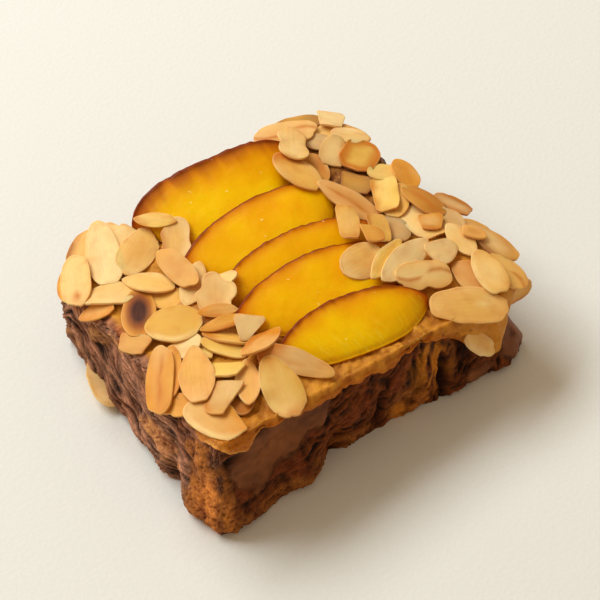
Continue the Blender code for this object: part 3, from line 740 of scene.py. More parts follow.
# %% The rings of the bread
BREAD_LEVELS = 140
ROUNDED_SHARE = 0.1      # share of the height over which the foot is rounded

level = np.linspace(0, 1, BREAD_LEVELS)[:, None]
flat = fine.foot * (1 - level[..., None]) + fine.rim * level[..., None]
bread_z = fine.bread_height * level
bread_relief = crust_relief(flat[..., 0], flat[..., 1], bread_z, fine.facing)
bread_relief -= FOOT_ROUNDING * np.maximum(0, 1 - level / ROUNDED_SHARE)
flat = flat + fine.facing * bread_relief[..., None]
bread_points = np.concatenate([flat, bread_z[..., None]], axis=-1)
print("bread rings:", bread_points.shape[:2])

# %% [markdown]
# The zones are soft ovals until noise frays them. The panel gets a ragged edge with a seam along it, and
# the crumb breaks up into torn patches. The left side counts as pulled: there the slice was torn from its
# neighbour, and elsewhere it was cut.

# %% Fray the zones
bx, by, bz = bread_points[..., 0], bread_points[..., 1], bread_points[..., 2]
crumb, panel, amber, shadow, lit_crumb = (
    zone(zones, bx, by, bz, fine.facing)
    for zones in (CRUMB_ZONES, PANEL_ZONES, AMBER_ZONES, SHADOW_ZONES, LIT_CRUMB_ZONES))
ragged = cloud(bread_points, 3.4, 11)
panel = step_up(panel + 0.22 * ragged + 0.1 * cloud(bread_points, 1.7, 23), 0.3, 0.6)
seam = 4 * panel * (1 - panel)
crumb = step_up(crumb + 0.45 * ragged, 0.2, 0.65) * (1 - panel)
left_share, back_share, right_share = (side_share(side, fine.facing) for side in ("left", "back", "right"))
pulled = np.broadcast_to(np.clip(left_share + 0.2 * back_share, 0, 1), bz.shape)
print("share of open crumb:", crumb.mean().round(2), "and of panels:", panel.mean().round(2))

# %% [markdown]
# Wide ledges carry narrow strands, and those carry threads. Shreds are the short ends where a knife went
# through. Each layer of noise has its kind, its size and its seed in a table, and the recipes that follow
# say how much of each layer goes into the relief and into the colour.

# %% Layers of noise for the bread
STRAND_LAYERS = {
    # kind of noise, length and width of its lumps in mm, seed
    "ledges": (cloud, 17.0, 3.4, 9),
    "strands": (ridges, 13.0, 1.25, 7),
    "threads": (ridges, 8.0, 0.6, 8),
    "shreds": (ridges, 3.4, 0.8, 31),
}
LUMP_LAYERS = {
    # kind of noise, its lump size in mm, seed, how its axes are stretched
    "lumps": (cloud, 2.1, 12, (1, 1, 1)),
    "grain": (cloud, 0.8, 17, (1, 1, 1)),
    "waves": (cloud, 2.4, 13, (0.5, 0.5, 1)),
    "foot_lumps": (cloud, 2.2, 14, (1, 1, 1)),
    "foot_crests": (ridges, 1.2, 18, (1, 1, 1)),
}
PORE_LAYERS = {
    # size in mm, seed, where the wall of a pore starts and ends in sizes, how its axes are stretched
    "pits": (3.2, 20, 0.1, 0.26, (1, 1, 0.8)),
    "pinpricks": (1.3, 30, 0.1, 0.34, (1, 1, 1)),
}


def hollows(points, size, seed, floor_end, wall_end, stretch=(1, 1, 1)):
    """-1 in a pore, 0 between them."""
    return step_up(pores(points * stretch, size, seed), floor_end, wall_end) - 1


def laid_over(layers, **amounts):
    """Layers of noise added up, each times its amount."""
    return sum(amount * layers[name] for name, amount in amounts.items())


bread_noise = {name: strand_noise(bread_points, fine.facing, *row) for name, row in STRAND_LAYERS.items()}
for name, (kind, size, seed, stretch) in LUMP_LAYERS.items():
    bread_noise[name] = kind(bread_points * stretch, size, seed)
for name, row in PORE_LAYERS.items():
    bread_noise[name] = hollows(bread_points, *row)
print("layers of noise:", ", ".join(bread_noise))

# %% [markdown]
# The carving is long on the left side, where the slice was pulled, and short elsewhere. Small pits are
# pressed in where the crumb is open, and the panels stay nearly smooth, because there the syrup closed the
# surface. Nothing is raised much, so that the bread keeps the solid's size.

# %% Carve the strands, the crumb and the panels
CARVING = {
    # millimetres that each layer lifts a kind of surface
    "pulled": dict(ledges=0.8, strands=0.4, threads=0.38, grain=0.08),
    "cut": dict(ledges=0.6, strands=0.2, shreds=0.34, lumps=0.42, grain=0.2, pits=0.3),
    "crumb": dict(pits=0.8, pinpricks=0.5, lumps=0.45, grain=0.18, strands=0.12),
    "panel": dict(waves=0.25, grain=0.04),
    "foot": dict(foot_lumps=0.5, foot_crests=0.25),
}
CRUMB_LIFT, RAGGED_LIFT = 0.25, 0.3
SHADOW_DEPTH, SEAM_DEPTH = 1.6, 0.35
CALMER_SIDES = 0.35      # the back and the right side are carved this much less
FOOT_REACH, CARVED_FROM = 4.0, 1.2
HIGHEST_CARVING = 1.1

carving = {surface: laid_over(bread_noise, **recipe) for surface, recipe in CARVING.items()}
calm = 1 - CALMER_SIDES * np.maximum(back_share, right_share)
stranded = calm * (1 - crumb) * (1 - 0.92 * panel)
carve = stranded * (pulled * carving["pulled"] + (1 - pulled) * carving["cut"])
carve += crumb * (carving["crumb"] + CRUMB_LIFT)
carve += panel * carving["panel"]
carve += RAGGED_LIFT * ragged * (1 - panel) - SHADOW_DEPTH * shadow - SEAM_DEPTH * seam
carve += step_up(-bz, -FOOT_REACH, 0) * (1 - panel) * carving["foot"]
carve = np.minimum(carve, HIGHEST_CARVING) * step_up(bz, -CARVED_FROM, CARVED_FROM)
carved_points = np.concatenate([flat + fine.facing * carve[..., None], bread_z[..., None]], axis=-1)
print("carving runs from", carve.min().round(2), "to", carve.max().round(2), "mm")

# %% [markdown]
# Hollows are painted darker than crests, as painted shade. So the same layers of noise also pick the
# colour, each kind of surface between a dark and a light tone of its own. The left side is painted greyer
# and lighter, as painted sheen of the light that grazes it.

# %% Tones of the bread
# painted sheen: the left side's tones are greyer and lighter than the front's
LEFT_DARK, LEFT_LIGHT = colour(40, 22, 19), colour(208, 144, 110)
FRONT_DARK, FRONT_LIGHT = colour(34, 13, 4), colour(140, 71, 24)
CRUMB_DEEP, CRUMB_LIGHT = colour(104, 43, 13), colour(216, 132, 56)
PULLED_DEEP, PULLED_LIGHT = colour(116, 62, 34), colour(222, 154, 94)
PANEL_DARK, PANEL_LIGHT = colour(94, 50, 22), colour(145, 85, 41)
MAUVE = colour(146, 98, 74)
AMBER = colour(214, 132, 30)
RUSSET = colour(150, 72, 34)
HOLE_SHADE = colour(38, 16, 8)
LIGHTNESS = {
    # how light a kind of surface is by itself, from its dark tone at 0 to its light tone at 1
    "pulled": 0.5, "cut": 0.42, "crumb": 0.52, "panel": 0.5,
}
LIGHTENING = {
    # how much each layer lightens it
    "pulled": dict(ledges=0.2, strands=0.24, threads=0.32, grain=0.16),
    "cut": dict(ledges=0.14, shreds=0.3, strands=0.12, lumps=0.2, grain=0.25),
    "crumb": dict(lumps=0.45, blotches=0.25, grain=0.35, pinpricks=0.5),
    "panel": dict(clouding=0.45, fleck=0.3),
}
print("kinds of surface:", ", ".join(LIGHTENING))

# %% [markdown]
# Now the tones are laid over each other, from the commonest surface to the rarest: cut and pulled strands,
# russet stains, crumb, panels, amber, and last the painted shade of the holes. Later layers cover earlier
# ones, just as in a painting, so each needs to be right only where it shows.

# %% Colour the bread
MAUVE_FROM, MAUVE_TO = 36, 46
PULLED_CRUMB_FROM, PULLED_CRUMB_TO = -28, -18
AMBER_LAYER = (ridges, 9.0, 2.2, 19)


def bread_shade(surface, dark, light):
    """The colour of one kind of surface at each point of the bread."""
    return tint(dark, light, LIGHTNESS[surface] + laid_over(bread_noise, **LIGHTENING[surface]))


bread_noise["blotches"] = cloud(carved_points, 5, 21)
bread_noise["clouding"] = cloud(carved_points, 5, 16)
bread_noise["fleck"] = cloud(carved_points, 1.6, 22)
pulled_crumb = pulled * step_up(by, PULLED_CRUMB_FROM, PULLED_CRUMB_TO)
crumb_colour = tint(bread_shade("crumb", CRUMB_DEEP, CRUMB_LIGHT),
                    bread_shade("crumb", PULLED_DEEP, PULLED_LIGHT), pulled_crumb)
# painted light: the crumb is lighter on the lit left side and in the lit zones
crumb_colour = crumb_colour * (0.56 + 0.24 * pulled + 0.62 * lit_crumb)[..., None]
panel_colour = bread_shade("panel", PANEL_DARK, PANEL_LIGHT)
# the right corner's lobe turns mauve and lighter: its own colour, with painted sheen
panel_colour = tint(panel_colour, MAUVE, 0.35 * step_up(bx, MAUVE_FROM, MAUVE_TO))
russet_stains = step_up(cloud(carved_points, 6, 15), 0.05, 0.5)
amber_streaks = step_up(strand_noise(carved_points, fine.facing, *AMBER_LAYER), -0.5, 0.6)
bread_colour = coats(
    bread_shade("cut", FRONT_DARK, FRONT_LIGHT),
    (bread_shade("pulled", LEFT_DARK, LEFT_LIGHT), pulled),
    (RUSSET, (0.4 - 0.2 * pulled) * russet_stains),
    (crumb_colour, 0.9 * crumb),
    (panel_colour, panel),
    (AMBER, 0.85 * amber * amber_streaks),
    # painted shade: tears, crumb pits and the panel's seam darken towards the shade of a hole
    (HOLE_SHADE, 0.9 * shadow - 0.55 * crumb * bread_noise["pits"] + 0.3 * seam))
print("mean bread colour:", bread_colour.mean((0, 1)).round(3))

# %% [markdown]
# Two more values go with the colour. The gloss says where syrup soaked in. The strand coordinates let the
# material draw hairs that run along the strands, and they fade where two directions meet, in the crumb and
# on the panels, because no hairs show there.

# %% Gloss and hairs of the bread
bread_gloss = np.clip(0.2 + 0.5 * panel + 0.25 * amber - 0.1 * crumb, 0, 1)
bread_strands, sureness = strand_coordinates(carved_points, fine.facing)
hairy = step_up(sureness, 0.1, 0.5) * (1 - 0.85 * crumb) * (1 - panel) * (0.4 + 0.6 * pulled)
bread_paint = with_fourth(bread_colour, bread_gloss).reshape(*bz.shape, 4)
bread_strands = with_fourth(bread_strands, hairy).reshape(*bz.shape, 4)
print("mean gloss of the bread:", bread_gloss.mean().round(2))

# %% [markdown]
# In the material, hairs and grit darken and lighten that colour, and emboss it a little. Both are finer
# than the mesh. Syrup-soaked panels have little grit and shine softly, and the rest stays dull.

# %% The bread as a material
HAIR_STRETCH = (0.2, 2.4, 1.0)   # hairs are twelve times as long as wide
HAIR_DARK, HAIR_LIGHT = (0.36, 0.33, 0.32), (1.5, 1.52, 1.52)
GRIT_SIZE = 0.6
GRIT_DARK, GRIT_LIGHT = (0.5, 0.46, 0.42), (1.45, 1.5, 1.5)
HAIR_DEPTH, GRIT_DEPTH = 0.35, 0.45
LEVEL = (0.5, 0.5, 0.5)

bread_crust, tree, shader = plain_material("brioche", 0.6, Specular_IOR_Level=0.14)
tone = painted(tree, "crust_paint")
gloss = painted(tree, "crust_paint", "Alpha")
grit = speckle(tree, place(tree), GRIT_SIZE, 5, 0.7)
run = painted(tree, "crust_strands", "Vector")
hairy_share = painted(tree, "crust_strands", "Alpha")
hairs = speckle(tree, place(tree, HAIR_STRETCH, run), 1.0, 4, 0.6)
hair_tone = mix(tree, stretch_range(tree, hairs, 0.3, 0.7), HAIR_DARK, HAIR_LIGHT)
rough_share = stretch_range(tree, gloss, 0.4, 0.7, 0.55, 0.2)
grit_tone = mix(tree, stretch_range(tree, grit, 0.3, 0.7), GRIT_DARK, GRIT_LIGHT)
shade = mix(tree, hairy_share, tone, hair_tone, "MULTIPLY")
shade = mix(tree, rough_share, shade, grit_tone, "MULTIPLY")
tree.links.new(shade, shader.inputs["Base Color"])
tree.links.new(stretch_range(tree, gloss, 0, 1, 0.75, 0.3), shader.inputs["Roughness"])
lifted_hairs = mix(tree, hairy_share, LEVEL, hairs)
lifted_grit = mix(tree, rough_share, LEVEL, grit)
hair_relief = emboss(tree, lifted_hairs, HAIR_DEPTH)
tree.links.new(emboss(tree, lifted_grit, GRIT_DEPTH, hair_relief), shader.inputs["Normal"])
print("nodes of the bread's material:", len(tree.nodes))


# %% [markdown]
# The rings close with a flat sole below and a lid under the cream. Both are made of smaller copies of the
# outermost ring, which keeps their faces even, and they take its colours.

# %% The bread as a piece
SOLE_SHARES, LID_SHARES = (0.35, 0.7, 0.95), (0.97, 0.7, 0.35)


def flat_rings(ring, shares, height_of):
    """Smaller copies of a ring that fill the face it surrounds."""
    rings = []
    for share in shares:
        x, y = ring[:, 0] * share, ring[:, 1] * share
        rings.append(np.stack([x, y, height_of(x, y)], axis=-1))
    return np.array(rings)


def under_cream(x, y):
    """Height of the bread's lid."""
    return cream_top(x, y) - CREAM_THICKNESS


def over_caps(values):
    """Values of the side's rings, repeated for the sole, the lid and their middle points."""
    sole, lid = np.repeat(values[:1], len(SOLE_SHARES), 0), np.repeat(values[-1:], len(LID_SHARES), 0)
    return with_ends(np.concatenate([sole, values, lid]).reshape(-1, values.shape[-1]))


lid = flat_rings(carved_points[-1], LID_SHARES, under_cream)
sole = flat_rings(carved_points[0], SOLE_SHARES, lambda x, y: 0 * x)
bread_rings = np.concatenate([sole, carved_points, lid])
bread_mesh = skin_rings(bread_rings, (0, 0, 0), (0, 0, float(under_cream(0, 0))))
make_piece("brioche_slice", *bread_mesh, bread_crust, "brioche_crust", ["bread"],
           crust_paint=over_caps(bread_paint),
           crust_strands=over_caps(bread_strands))

# %% [markdown]
# Almond cream is spread over the bread, and in the oven it runs over the rim in drips, then sets in a
# golden porous crust. Its edge could be poured with a fluid simulation, but then no drip would fall where
# this pastry has it. So each drip has a row that lowers and thickens the edge at its place.

# %% The cream's edge
CREAM_DRIPS = (
    # side, place along it, half width, drop, thickness
    ("front", -47.5, 4.5, 2.2, 2.0),
    ("front", -56, 4, -4.0, 1.4),
    ("front", -41, 3.0, 0, 0.3),
    ("front", -22, 9, 0.4, 1.4),
    ("front", 2, 4.5, 1.2, 1.6),
    ("front", 13, 5, 0, 0.3),
    ("front", 38.0, 12.5, 16.4, 2.8),
    ("left", -38, 5, -1.6, 0.9),
    ("left", 4, 22, 0, 0.3),
    ("right", -36, 7, 6, 1.2),
    ("right", -4, 9, 3.0, 1.8),
    ("right", 25, 6, 2.0, 1.6),
    ("back", 30, 9, 3.0, 1.8),
    ("back", -22, 9, 4.0, 2.0),
)
CREAM_LIP = 0.5
CREAM_OVERHANG = 0.8
DRIP_FULLNESS = 1.3      # how broadly a drip keeps its full thickness
EDGE_WAVE, EDGE_WAVE_LENGTH = 0.5, 7
LOBE_SIZE, LOBE_DEPTH, LOBE_SEED = 4.4, 1.5, 43
LOBE_MIDDLE = 0.55
TOOTH_NOISE, TOOTH_HEIGHT = (1.8, 42), 0.4
THINNEST_CREAM = 0.6
NOISE_LEVEL = 40.0       # the height at which the edge's noise is taken

rim_x, rim_y = fine.rim[:, 0], fine.rim[:, 1]
rim_top = cream_top(rim_x, rim_y)
rim_points = np.stack([rim_x, rim_y, np.full(len(rim_x), NOISE_LEVEL)], axis=-1)
rim_waves = np.array([noise.noise(Vector(point) / EDGE_WAVE_LENGTH) for point in rim_points])
drop = CREAM_LIP - fine.bare + EDGE_WAVE * rim_waves
thick = np.full(len(rim_x), CREAM_OVERHANG)
for *stretch, depth, stand in CREAM_DRIPS:
    strength = stretch_share(*stretch, rim_x, rim_y, fine.facing)
    drop += depth * strength
    thick += (stand - CREAM_OVERHANG) * np.minimum(1, DRIP_FULLNESS * strength)
drop += LOBE_DEPTH * (LOBE_MIDDLE - pores(rim_points, LOBE_SIZE, LOBE_SEED))
drop += TOOTH_HEIGHT * cloud(rim_points, *TOOTH_NOISE)
drop = np.maximum(drop, -CREAM_THICKNESS + THINNEST_CREAM)
low = rim_top - CREAM_THICKNESS - drop
print("deepest drip:", drop.max().round(1), "mm")

# %% [markdown]
# The cream is one closed skin. Rings start inside the bread, come out under the lip, wrap over the rounded
# edge and then shrink over the upper face to the middle. It is rooted a few millimetres deep, so that no
# gap opens between cream and bread.

# %% The cream's surface
CREAM_ROOT = 5.0
ROOT_DROP, ROOT_STEP = 0.6, 0.5
CREAM_EDGE_ROUNDING = 1.9
EDGE_ROWS = 26
EDGE_START = 0.04
ROOT_ROWS = 2
SHOULDER_SHARES = (0.35, 0.7)
SHOULDER_BULGE = 0.35
INNER_EDGE, INNER_DROP = 0.9, 0.15
FACE_ROWS, FACE_CROWDING = 60, 0.94


def cream_edge_rows():
    """Rings from inside the bread, round the lip, to the upper face."""
    rows = [crust_points(fine, low - ROOT_DROP, np.full(len(low), -CREAM_ROOT)),
            crust_points(fine, low, np.full(len(low), -ROOT_STEP))]
    for share in np.linspace(EDGE_START, 1, EDGE_ROWS):
        height = low + share * (rim_top - CREAM_EDGE_ROUNDING - low)
        lip = math.sqrt(1 - (1 - min(1.0, share * 3.2)) ** 2)
        rows.append(crust_points(fine, height, thick * (0.15 + 0.85 * lip) * (1 - 0.3 * share)))
    edge = crust_points(fine, rim_top - CREAM_THICKNESS, np.full(len(low), -INNER_EDGE))
    inner = np.stack([edge[:, 0], edge[:, 1], cream_top(edge[:, 0], edge[:, 1]) - INNER_DROP], axis=-1)
    for share in SHOULDER_SHARES:
        row = rows[-1] * (1 - share) + inner * share
        row[:, 2] += SHOULDER_BULGE * CREAM_EDGE_ROUNDING * math.sin(math.pi * share)
        rows.append(row)
    rows.append(inner)
    return np.array(rows), inner


edge_rows, inner_ring = cream_edge_rows()
face_shares = 1 - np.linspace(0, 1, FACE_ROWS)[1:-1] ** FACE_CROWDING
face_rows = flat_rings(inner_ring, face_shares, cream_top)
cream_points = np.concatenate([edge_rows, face_rows])
print("cream rings:", cream_points.shape[:2])

# %% [markdown]
# Baked almond cream is all mounds and knobs, with blisters where steam came out. They are the same kinds
# of noise as in the bread, and a table again says how much of each is laid on. On the left side the cream
# tore away with the neighbouring slice, so a strip there takes the strands of the bread instead.

# %% Layers of noise for the cream
CREAM_LUMPS = {"mounds": (4.0, 51), "knobs": (2.0, 53), "crumbs": (1.1, 52)}
CREAM_PORES = {"blisters": (3.4, 50, 0.06, 0.24), "pinholes": (1.5, 60, 0.08, 0.3)}
TORN_WIDTH, TORN_EDGE = 4.0, 1.4

cream_noise = {name: cloud(cream_points, *row) for name, row in CREAM_LUMPS.items()}
for name, row in CREAM_PORES.items():
    cream_noise[name] = hollows(cream_points, *row)
for name in ("strands", "threads"):
    cream_noise[name] = strand_noise(cream_points, fine.facing, *STRAND_LAYERS[name])
mounds, knobs, crumbs = (cream_noise[name] for name in CREAM_LUMPS)
cx, cy, cz = cream_points[..., 0], cream_points[..., 1], cream_points[..., 2]
rows_inward = np.arange(len(cream_points))[:, None] - (ROOT_ROWS + EDGE_ROWS)
inward = np.where(rows_inward < 0, 0, np.hypot(cx - rim_x, cy - rim_y))
torn = step_up(TORN_WIDTH + 1.2 * mounds - inward, 0, TORN_EDGE)
torn = torn * step_up(cy, -32, -24) * step_up(-cy, -38, -30)
torn = torn * side_share("left", fine.facing)
print("share of torn cream:", torn.mean().round(3))

# %% [markdown]
# Each point moves the way its face looks: outward on the edge, upward on the top, and in between on the
# shoulder. The two rings inside the bread stay where they are.

# %% Blister the cream
CREAM_RELIEF = dict(mounds=0.45, knobs=0.45, crumbs=0.2, blisters=0.35, pinholes=0.25)
TORN_RELIEF = dict(mounds=0.3, strands=0.3, threads=0.25)
TORN_DEPTH = 0.4
CREAM_DIP = 0.6          # the cream sags a little inside its rim
SHOULDER_TURN = (0.65, 0.3, 0.0)

raised = laid_over(cream_noise, **CREAM_RELIEF) * (1 - torn)
raised = raised + torn * (laid_over(cream_noise, **TORN_RELIEF) - TORN_DEPTH)
raised = raised - CREAM_DIP * step_up(rows_inward, -5, 1)
raised[:ROOT_ROWS] = 0
outward = np.concatenate([fine.facing, np.zeros((len(fine.facing), 1))], axis=1)
steepness = np.concatenate([np.ones(ROOT_ROWS + EDGE_ROWS), SHOULDER_TURN, np.zeros(len(face_rows))])
upward = np.array((0, 0, 1)) * (1 - steepness)[:, None, None]
cream_points = cream_points + (outward * steepness[:, None, None] + upward) * raised[..., None]
print("the cream rises and falls by", np.ptp(raised).round(1), "mm")

# %% [markdown]
# The cream browned like a biscuit, caramel where it ran down the side in the tongue at the right corner.
# It is paler gold on its knobs and browner between them, partly browning and partly painted shade, and its
# pores are painted dark, as painted shade. Its lower edge is painted darker, partly browning and partly
# painted shade under the overhang. Near the closest corner syrup made it glossy. Under the almonds it is
# painted pale, as painted light that shines through the flakes, and behind the peaches it lies in a deep
# brown crevice.

# %% Colour the cream
CREAM_GOLD = colour(227, 155, 48)
CREAM_BROWN = colour(158, 84, 8)
LIT_ALMOND_GAP = colour(217, 147, 46)
CREAM_EDGE = colour(190, 99, 8)
CREAM_PORE_SHADE = colour(84, 38, 12)
CARAMEL = colour(218, 138, 40)
SYRUP_GOLD = colour(196, 110, 10)
SYRUP_EDGE = colour(226, 156, 70)
CREVICE = colour(110, 64, 34)
TONGUE = (("front", 38, 16, 15, 14, 1.0), ("right", -34, 16, 12, 14, 1.0))
NEAR_DRIP = (("front", -49, 30, 8, 8, 1.0), ("left", -40, 30, 9, 8, 1.0))
EDGE_BAND = 3.5

above_edge = cz - low
# painted shade: the lower edge darkens, with its browning, under the overhang
edge_share = steepness[:, None] * step_up(EDGE_BAND - above_edge, 0, EDGE_BAND)
tongue = zone(TONGUE, cx, cy, cz, fine.facing)
near_drip = zone(NEAR_DRIP, cx, cy, cz, fine.facing)
under_left_heap = step_up(-cx, 14, 20) * step_up(cy, -34, -26)
under_right_heap = step_up(cx, 24, 32) * step_up(-cy, -6, 2)
under_almonds = np.maximum(under_left_heap, under_right_heap)
cream_colour = coats(
    CREAM_BROWN,
    # the knobs are paler: partly browning, partly painted shade between them
    (CREAM_GOLD, 0.55 + 0.3 * mounds + 0.3 * knobs + 0.35 * crumbs),
    (CREAM_EDGE, 0.8 * edge_share),
    (tint(CREAM_BROWN, CARAMEL, 0.7 + 0.8 * mounds), tongue),
    (SYRUP_GOLD, 0.9 * near_drip),
    # painted light: the cream under the almonds is paler, for light that shines through the flakes
    (LIT_ALMOND_GAP, 0.85 * under_almonds * step_up(above_edge, 0.5, 3)),
    (SYRUP_EDGE, near_drip * bell(above_edge - 0.3, 0.8)))
print("mean cream colour so far:", cream_colour.mean((0, 1)).round(3))

# %% [markdown]
# The torn strip takes the tones of the bread's left side, with one spot of reddish crumb. Pores are painted
# dark last, as painted shade, so that they are dark wherever they lie.

# %% Colour the torn strip and the pores
TORN_CRUMB = colour(176, 92, 46)
CRUMB_SPOT, CRUMB_SPOT_WIDTH = 12, 7

torn_shade = 0.45 + laid_over(cream_noise, strands=0.24, threads=0.32, crumbs=0.16)
torn_colour = tint(LEFT_DARK, LEFT_LIGHT, torn_shade)
crumb_spot = bell(cy - CRUMB_SPOT, CRUMB_SPOT_WIDTH) * step_up(mounds, -0.5, 0.2)
torn_colour = tint(torn_colour, TORN_CRUMB * (1 + 0.5 * crumbs + 0.3 * knobs)[..., None], crumb_spot)
back_right = step_up(cx, 4, 16) * step_up(cy, -14, 2)
cream_colour = coats(
    cream_colour,
    (torn_colour, torn),
    (CREVICE, 0.85 * back_right * (0.8 + 0.5 * mounds)),
    # painted shade in the blisters and pinholes
    (CREAM_PORE_SHADE, -laid_over(cream_noise, blisters=0.45, pinholes=0.25)))
cream_gloss = 0.3 + 0.65 * near_drip + 0.2 * tongue
print("mean cream colour:", cream_colour.mean((0, 1)).round(3))

# %% [markdown]
# Almond cream is a little translucent, so light spreads under its surface. Coarse grit stands for ground
# almond, and a few pale specks for sugar that did not melt.

# %% The cream as a piece
CREAM_SUBSURFACE = (1.0, 0.45, 0.15)     # red light travels furthest
CREAM_GRIT_DARK, CREAM_GRIT_LIGHT = (0.45, 0.38, 0.3), (1.45, 1.48, 1.35)
SUGAR, SUGAR_SIZE = colour(236, 190, 124), 0.9
CREAM_CORE = 7           # depth of the point on which the rings close below

baked_cream, tree, shader = plain_material(
    "baked_almond_cream", 0.5, Specular_IOR_Level=0.18,
    Subsurface_Weight=0.15, Subsurface_Scale=0.002, Subsurface_Radius=CREAM_SUBSURFACE)
tone = painted(tree, "cream_paint")
gloss = painted(tree, "cream_paint", "Alpha")
grit = speckle(tree, place(tree), GRIT_SIZE, 5, 0.7)
shade = mix(tree, 0.5, tone, mix(tree, grit, CREAM_GRIT_DARK, CREAM_GRIT_LIGHT), "MULTIPLY")
sugar = stretch_range(tree, speckle(tree, place(tree), SUGAR_SIZE, 2, 0.5), 0.64, 0.74, 0, 0.3)
tree.links.new(mix(tree, sugar, shade, SUGAR), shader.inputs["Base Color"])
tree.links.new(stretch_range(tree, gloss, 0, 1, 0.7, 0.2), shader.inputs["Roughness"])
tree.links.new(emboss(tree, grit, 0.25), shader.inputs["Normal"])
cream_middle = float(cream_top(0, 0))
cream_mesh = skin_rings(cream_points, (0, 0, cream_middle - CREAM_CORE), (0, 0, cream_middle))
make_piece("baked_cream", *cream_mesh, baked_cream, "almond_topping", ["almond_cream"],
           cream_paint=with_ends(with_fourth(cream_colour, cream_gloss)))

# %% [markdown]
# Each peach wedge lies on its side: its skin edge stands up at the back, and its flesh slopes down to the
# edge that was next to the stone. The wedges overlap like roof tiles, so each skin edge shows as a thin
# dark line against the wedge behind it. Two curves over one chord give the wedge's plan, and that is
# easier to fit to a real wedge than a slice cut from a sphere.

# %% The peach wedges
PEACH_SLICES = (
    # middle of the chord, heading, half length, bulge of the skin side and of the cut side,
    # rise of the skin edge and of the cut edge, squareness of the skin, reach of the left half
    (0.5, 40.5, -6, 27.8, 6.0, 18.0, 8.0, 1.5, 4.0, 0.92),
    (2.0, 18.5, 0, 27, 7.5, 14.5, 6.0, 1.5, 2.2, 1.0),
    (3.0, 1.5, -4, 26, 7.5, 9.5, 6.0, 1.5, 2.2, 1.0),
    (2.5, -9.5, -6, 27, 8.0, 13.5, 6.0, 1.5, 2.2, 1.0),
    (1.0, -27.0, -7, 24, 7.5, 8.5, 5.5, 1.4, 2.2, 1.0),
)
CUT_SQUARENESS = 3.0
PEACH_TIP = 0.4
PEACH_SLOPE = 1.2        # above 1, the flesh rises faster towards the skin
PEACH_END_FALL = 0.5


@dataclass
class PeachSlice:
    """A wedge of peach lying on its side: skin towards the back, stone side towards the front."""

    x: float
    y: float
    heading: float
    half_length: float
    skin_bulge: float
    cut_bulge: float
    skin_rise: float
    cut_rise: float
    squareness: float
    left_reach: float

    def __post_init__(self):
        turn = math.radians(self.heading)
        self.middle = np.array((self.x, self.y))
        self.along = np.array((math.cos(turn), math.sin(turn)))
        self.back = np.array((-self.along[1], self.along[0]))

    def edges(self, share):
        """Skin edge and cut edge, as offsets from the chord."""
        skin = self.skin_bulge * (1 - np.abs(share) ** self.squareness)
        cut = -self.cut_bulge * (1 - np.abs(share) ** CUT_SQUARENESS)
        return skin + PEACH_TIP, cut - PEACH_TIP

    def spot(self, share, offset):
        """Plan position of points of the wedge."""
        share, offset = np.asarray(share)[..., None], np.asarray(offset)[..., None]
        reach = self.half_length * np.where(share < 0, self.left_reach, 1.0)
        return self.middle + self.along * (share * reach) + self.back * offset

    def top(self, share, across):
        """Height of the cut face, across running from 0 at the cut edge to 1 at the skin."""
        skin, cut = self.edges(share)
        spot = self.spot(share, cut + (skin - cut) * across)
        ends = 1 - PEACH_END_FALL * np.abs(share) ** 4
        rise = (self.cut_rise + (self.skin_rise - self.cut_rise) * across ** PEACH_SLOPE) * ends
        return cream_top(spot[..., 0], spot[..., 1]) + rise


slices = [PeachSlice(*row) for row in PEACH_SLICES]
print("longest wedge:", 2 * max(piece.half_length for piece in slices), "mm")

# %% [markdown]
# A wedge's cross-section first runs over the flesh, from the skin edge to the cut edge. The flesh keeps
# the fibres that radiated from the stone, so it is ribbed very finely from edge to edge. The skin edge
# shrank and curled in the oven, so it is wavy and stands a little proud.

# %% The flesh of a wedge
STATIONS = 200
FIRST_STATION, LAST_STATION = 0.012, 0.988
FLESH_STEPS = 34
ACROSS_FLESH = np.linspace(1, 0, FLESH_STEPS) ** 1.25    # 1 at the skin edge, 0 at the cut edge
SWELL = 0.6
RIB_WIDTH, RIB_LENGTH, RIB_HEIGHT = 0.8, 5, 0.09
WAVE_HEIGHT = 0.22
CURLS = ((5.0, 72, 0.3), (1.5, 73, 0.3))
RIM_WIDTH, RIM_HEIGHT = 0.6, 0.15
CUT_ROUNDINGS = ((0.7, 0.5), (2.8, 0.8))                 # width and depth


def wedge_flesh(piece, seed):
    """Where each station and both edges lie, and the flesh's part of each ring."""
    share = np.sin(np.pi * (np.linspace(FIRST_STATION, LAST_STATION, STATIONS) - 0.5))[:, None]
    skin, cut = piece.edges(share)
    width = skin - cut
    along, from_cut = share * piece.half_length, ACROSS_FLESH * width
    height = piece.top(share, ACROSS_FLESH) + SWELL * np.sin(np.pi * ACROSS_FLESH) * (1 - share ** 4)
    fibre = np.stack(np.broadcast_arrays(along / RIB_WIDTH, from_cut / RIB_LENGTH, seed), axis=-1)
    height += RIB_HEIGHT * fade(from_cut, RIB_LENGTH) * cloud(fibre, 1.0, 70)
    height += WAVE_HEIGHT * cloud(fibre * (0.12, 0.5, 1), 1.0, 71)
    edge_line = np.stack(np.broadcast_arrays(along, 0, 9 * seed), axis=-1)
    proud = (RIM_HEIGHT + clouds(edge_line, CURLS)) * (1 - share ** 6)
    height += fade((1 - ACROSS_FLESH) * width, RIM_WIDTH) * proud
    for rounding, depth in CUT_ROUNDINGS:
        height -= depth * fade(from_cut, rounding)
    spots = piece.spot(*np.broadcast_arrays(share, cut + from_cut))
    return share, skin, cut, np.concatenate([spots, height[..., None]], axis=-1)


print("points over the flesh of a wedge:", STATIONS, "by", FLESH_STEPS)

# %% [markdown]
# The rest of the ring goes round the cut edge, along the bottom, which sinks a little into the cream, and
# up the rounded skin. These parts hardly show, so they need few points, but they close the wedge.

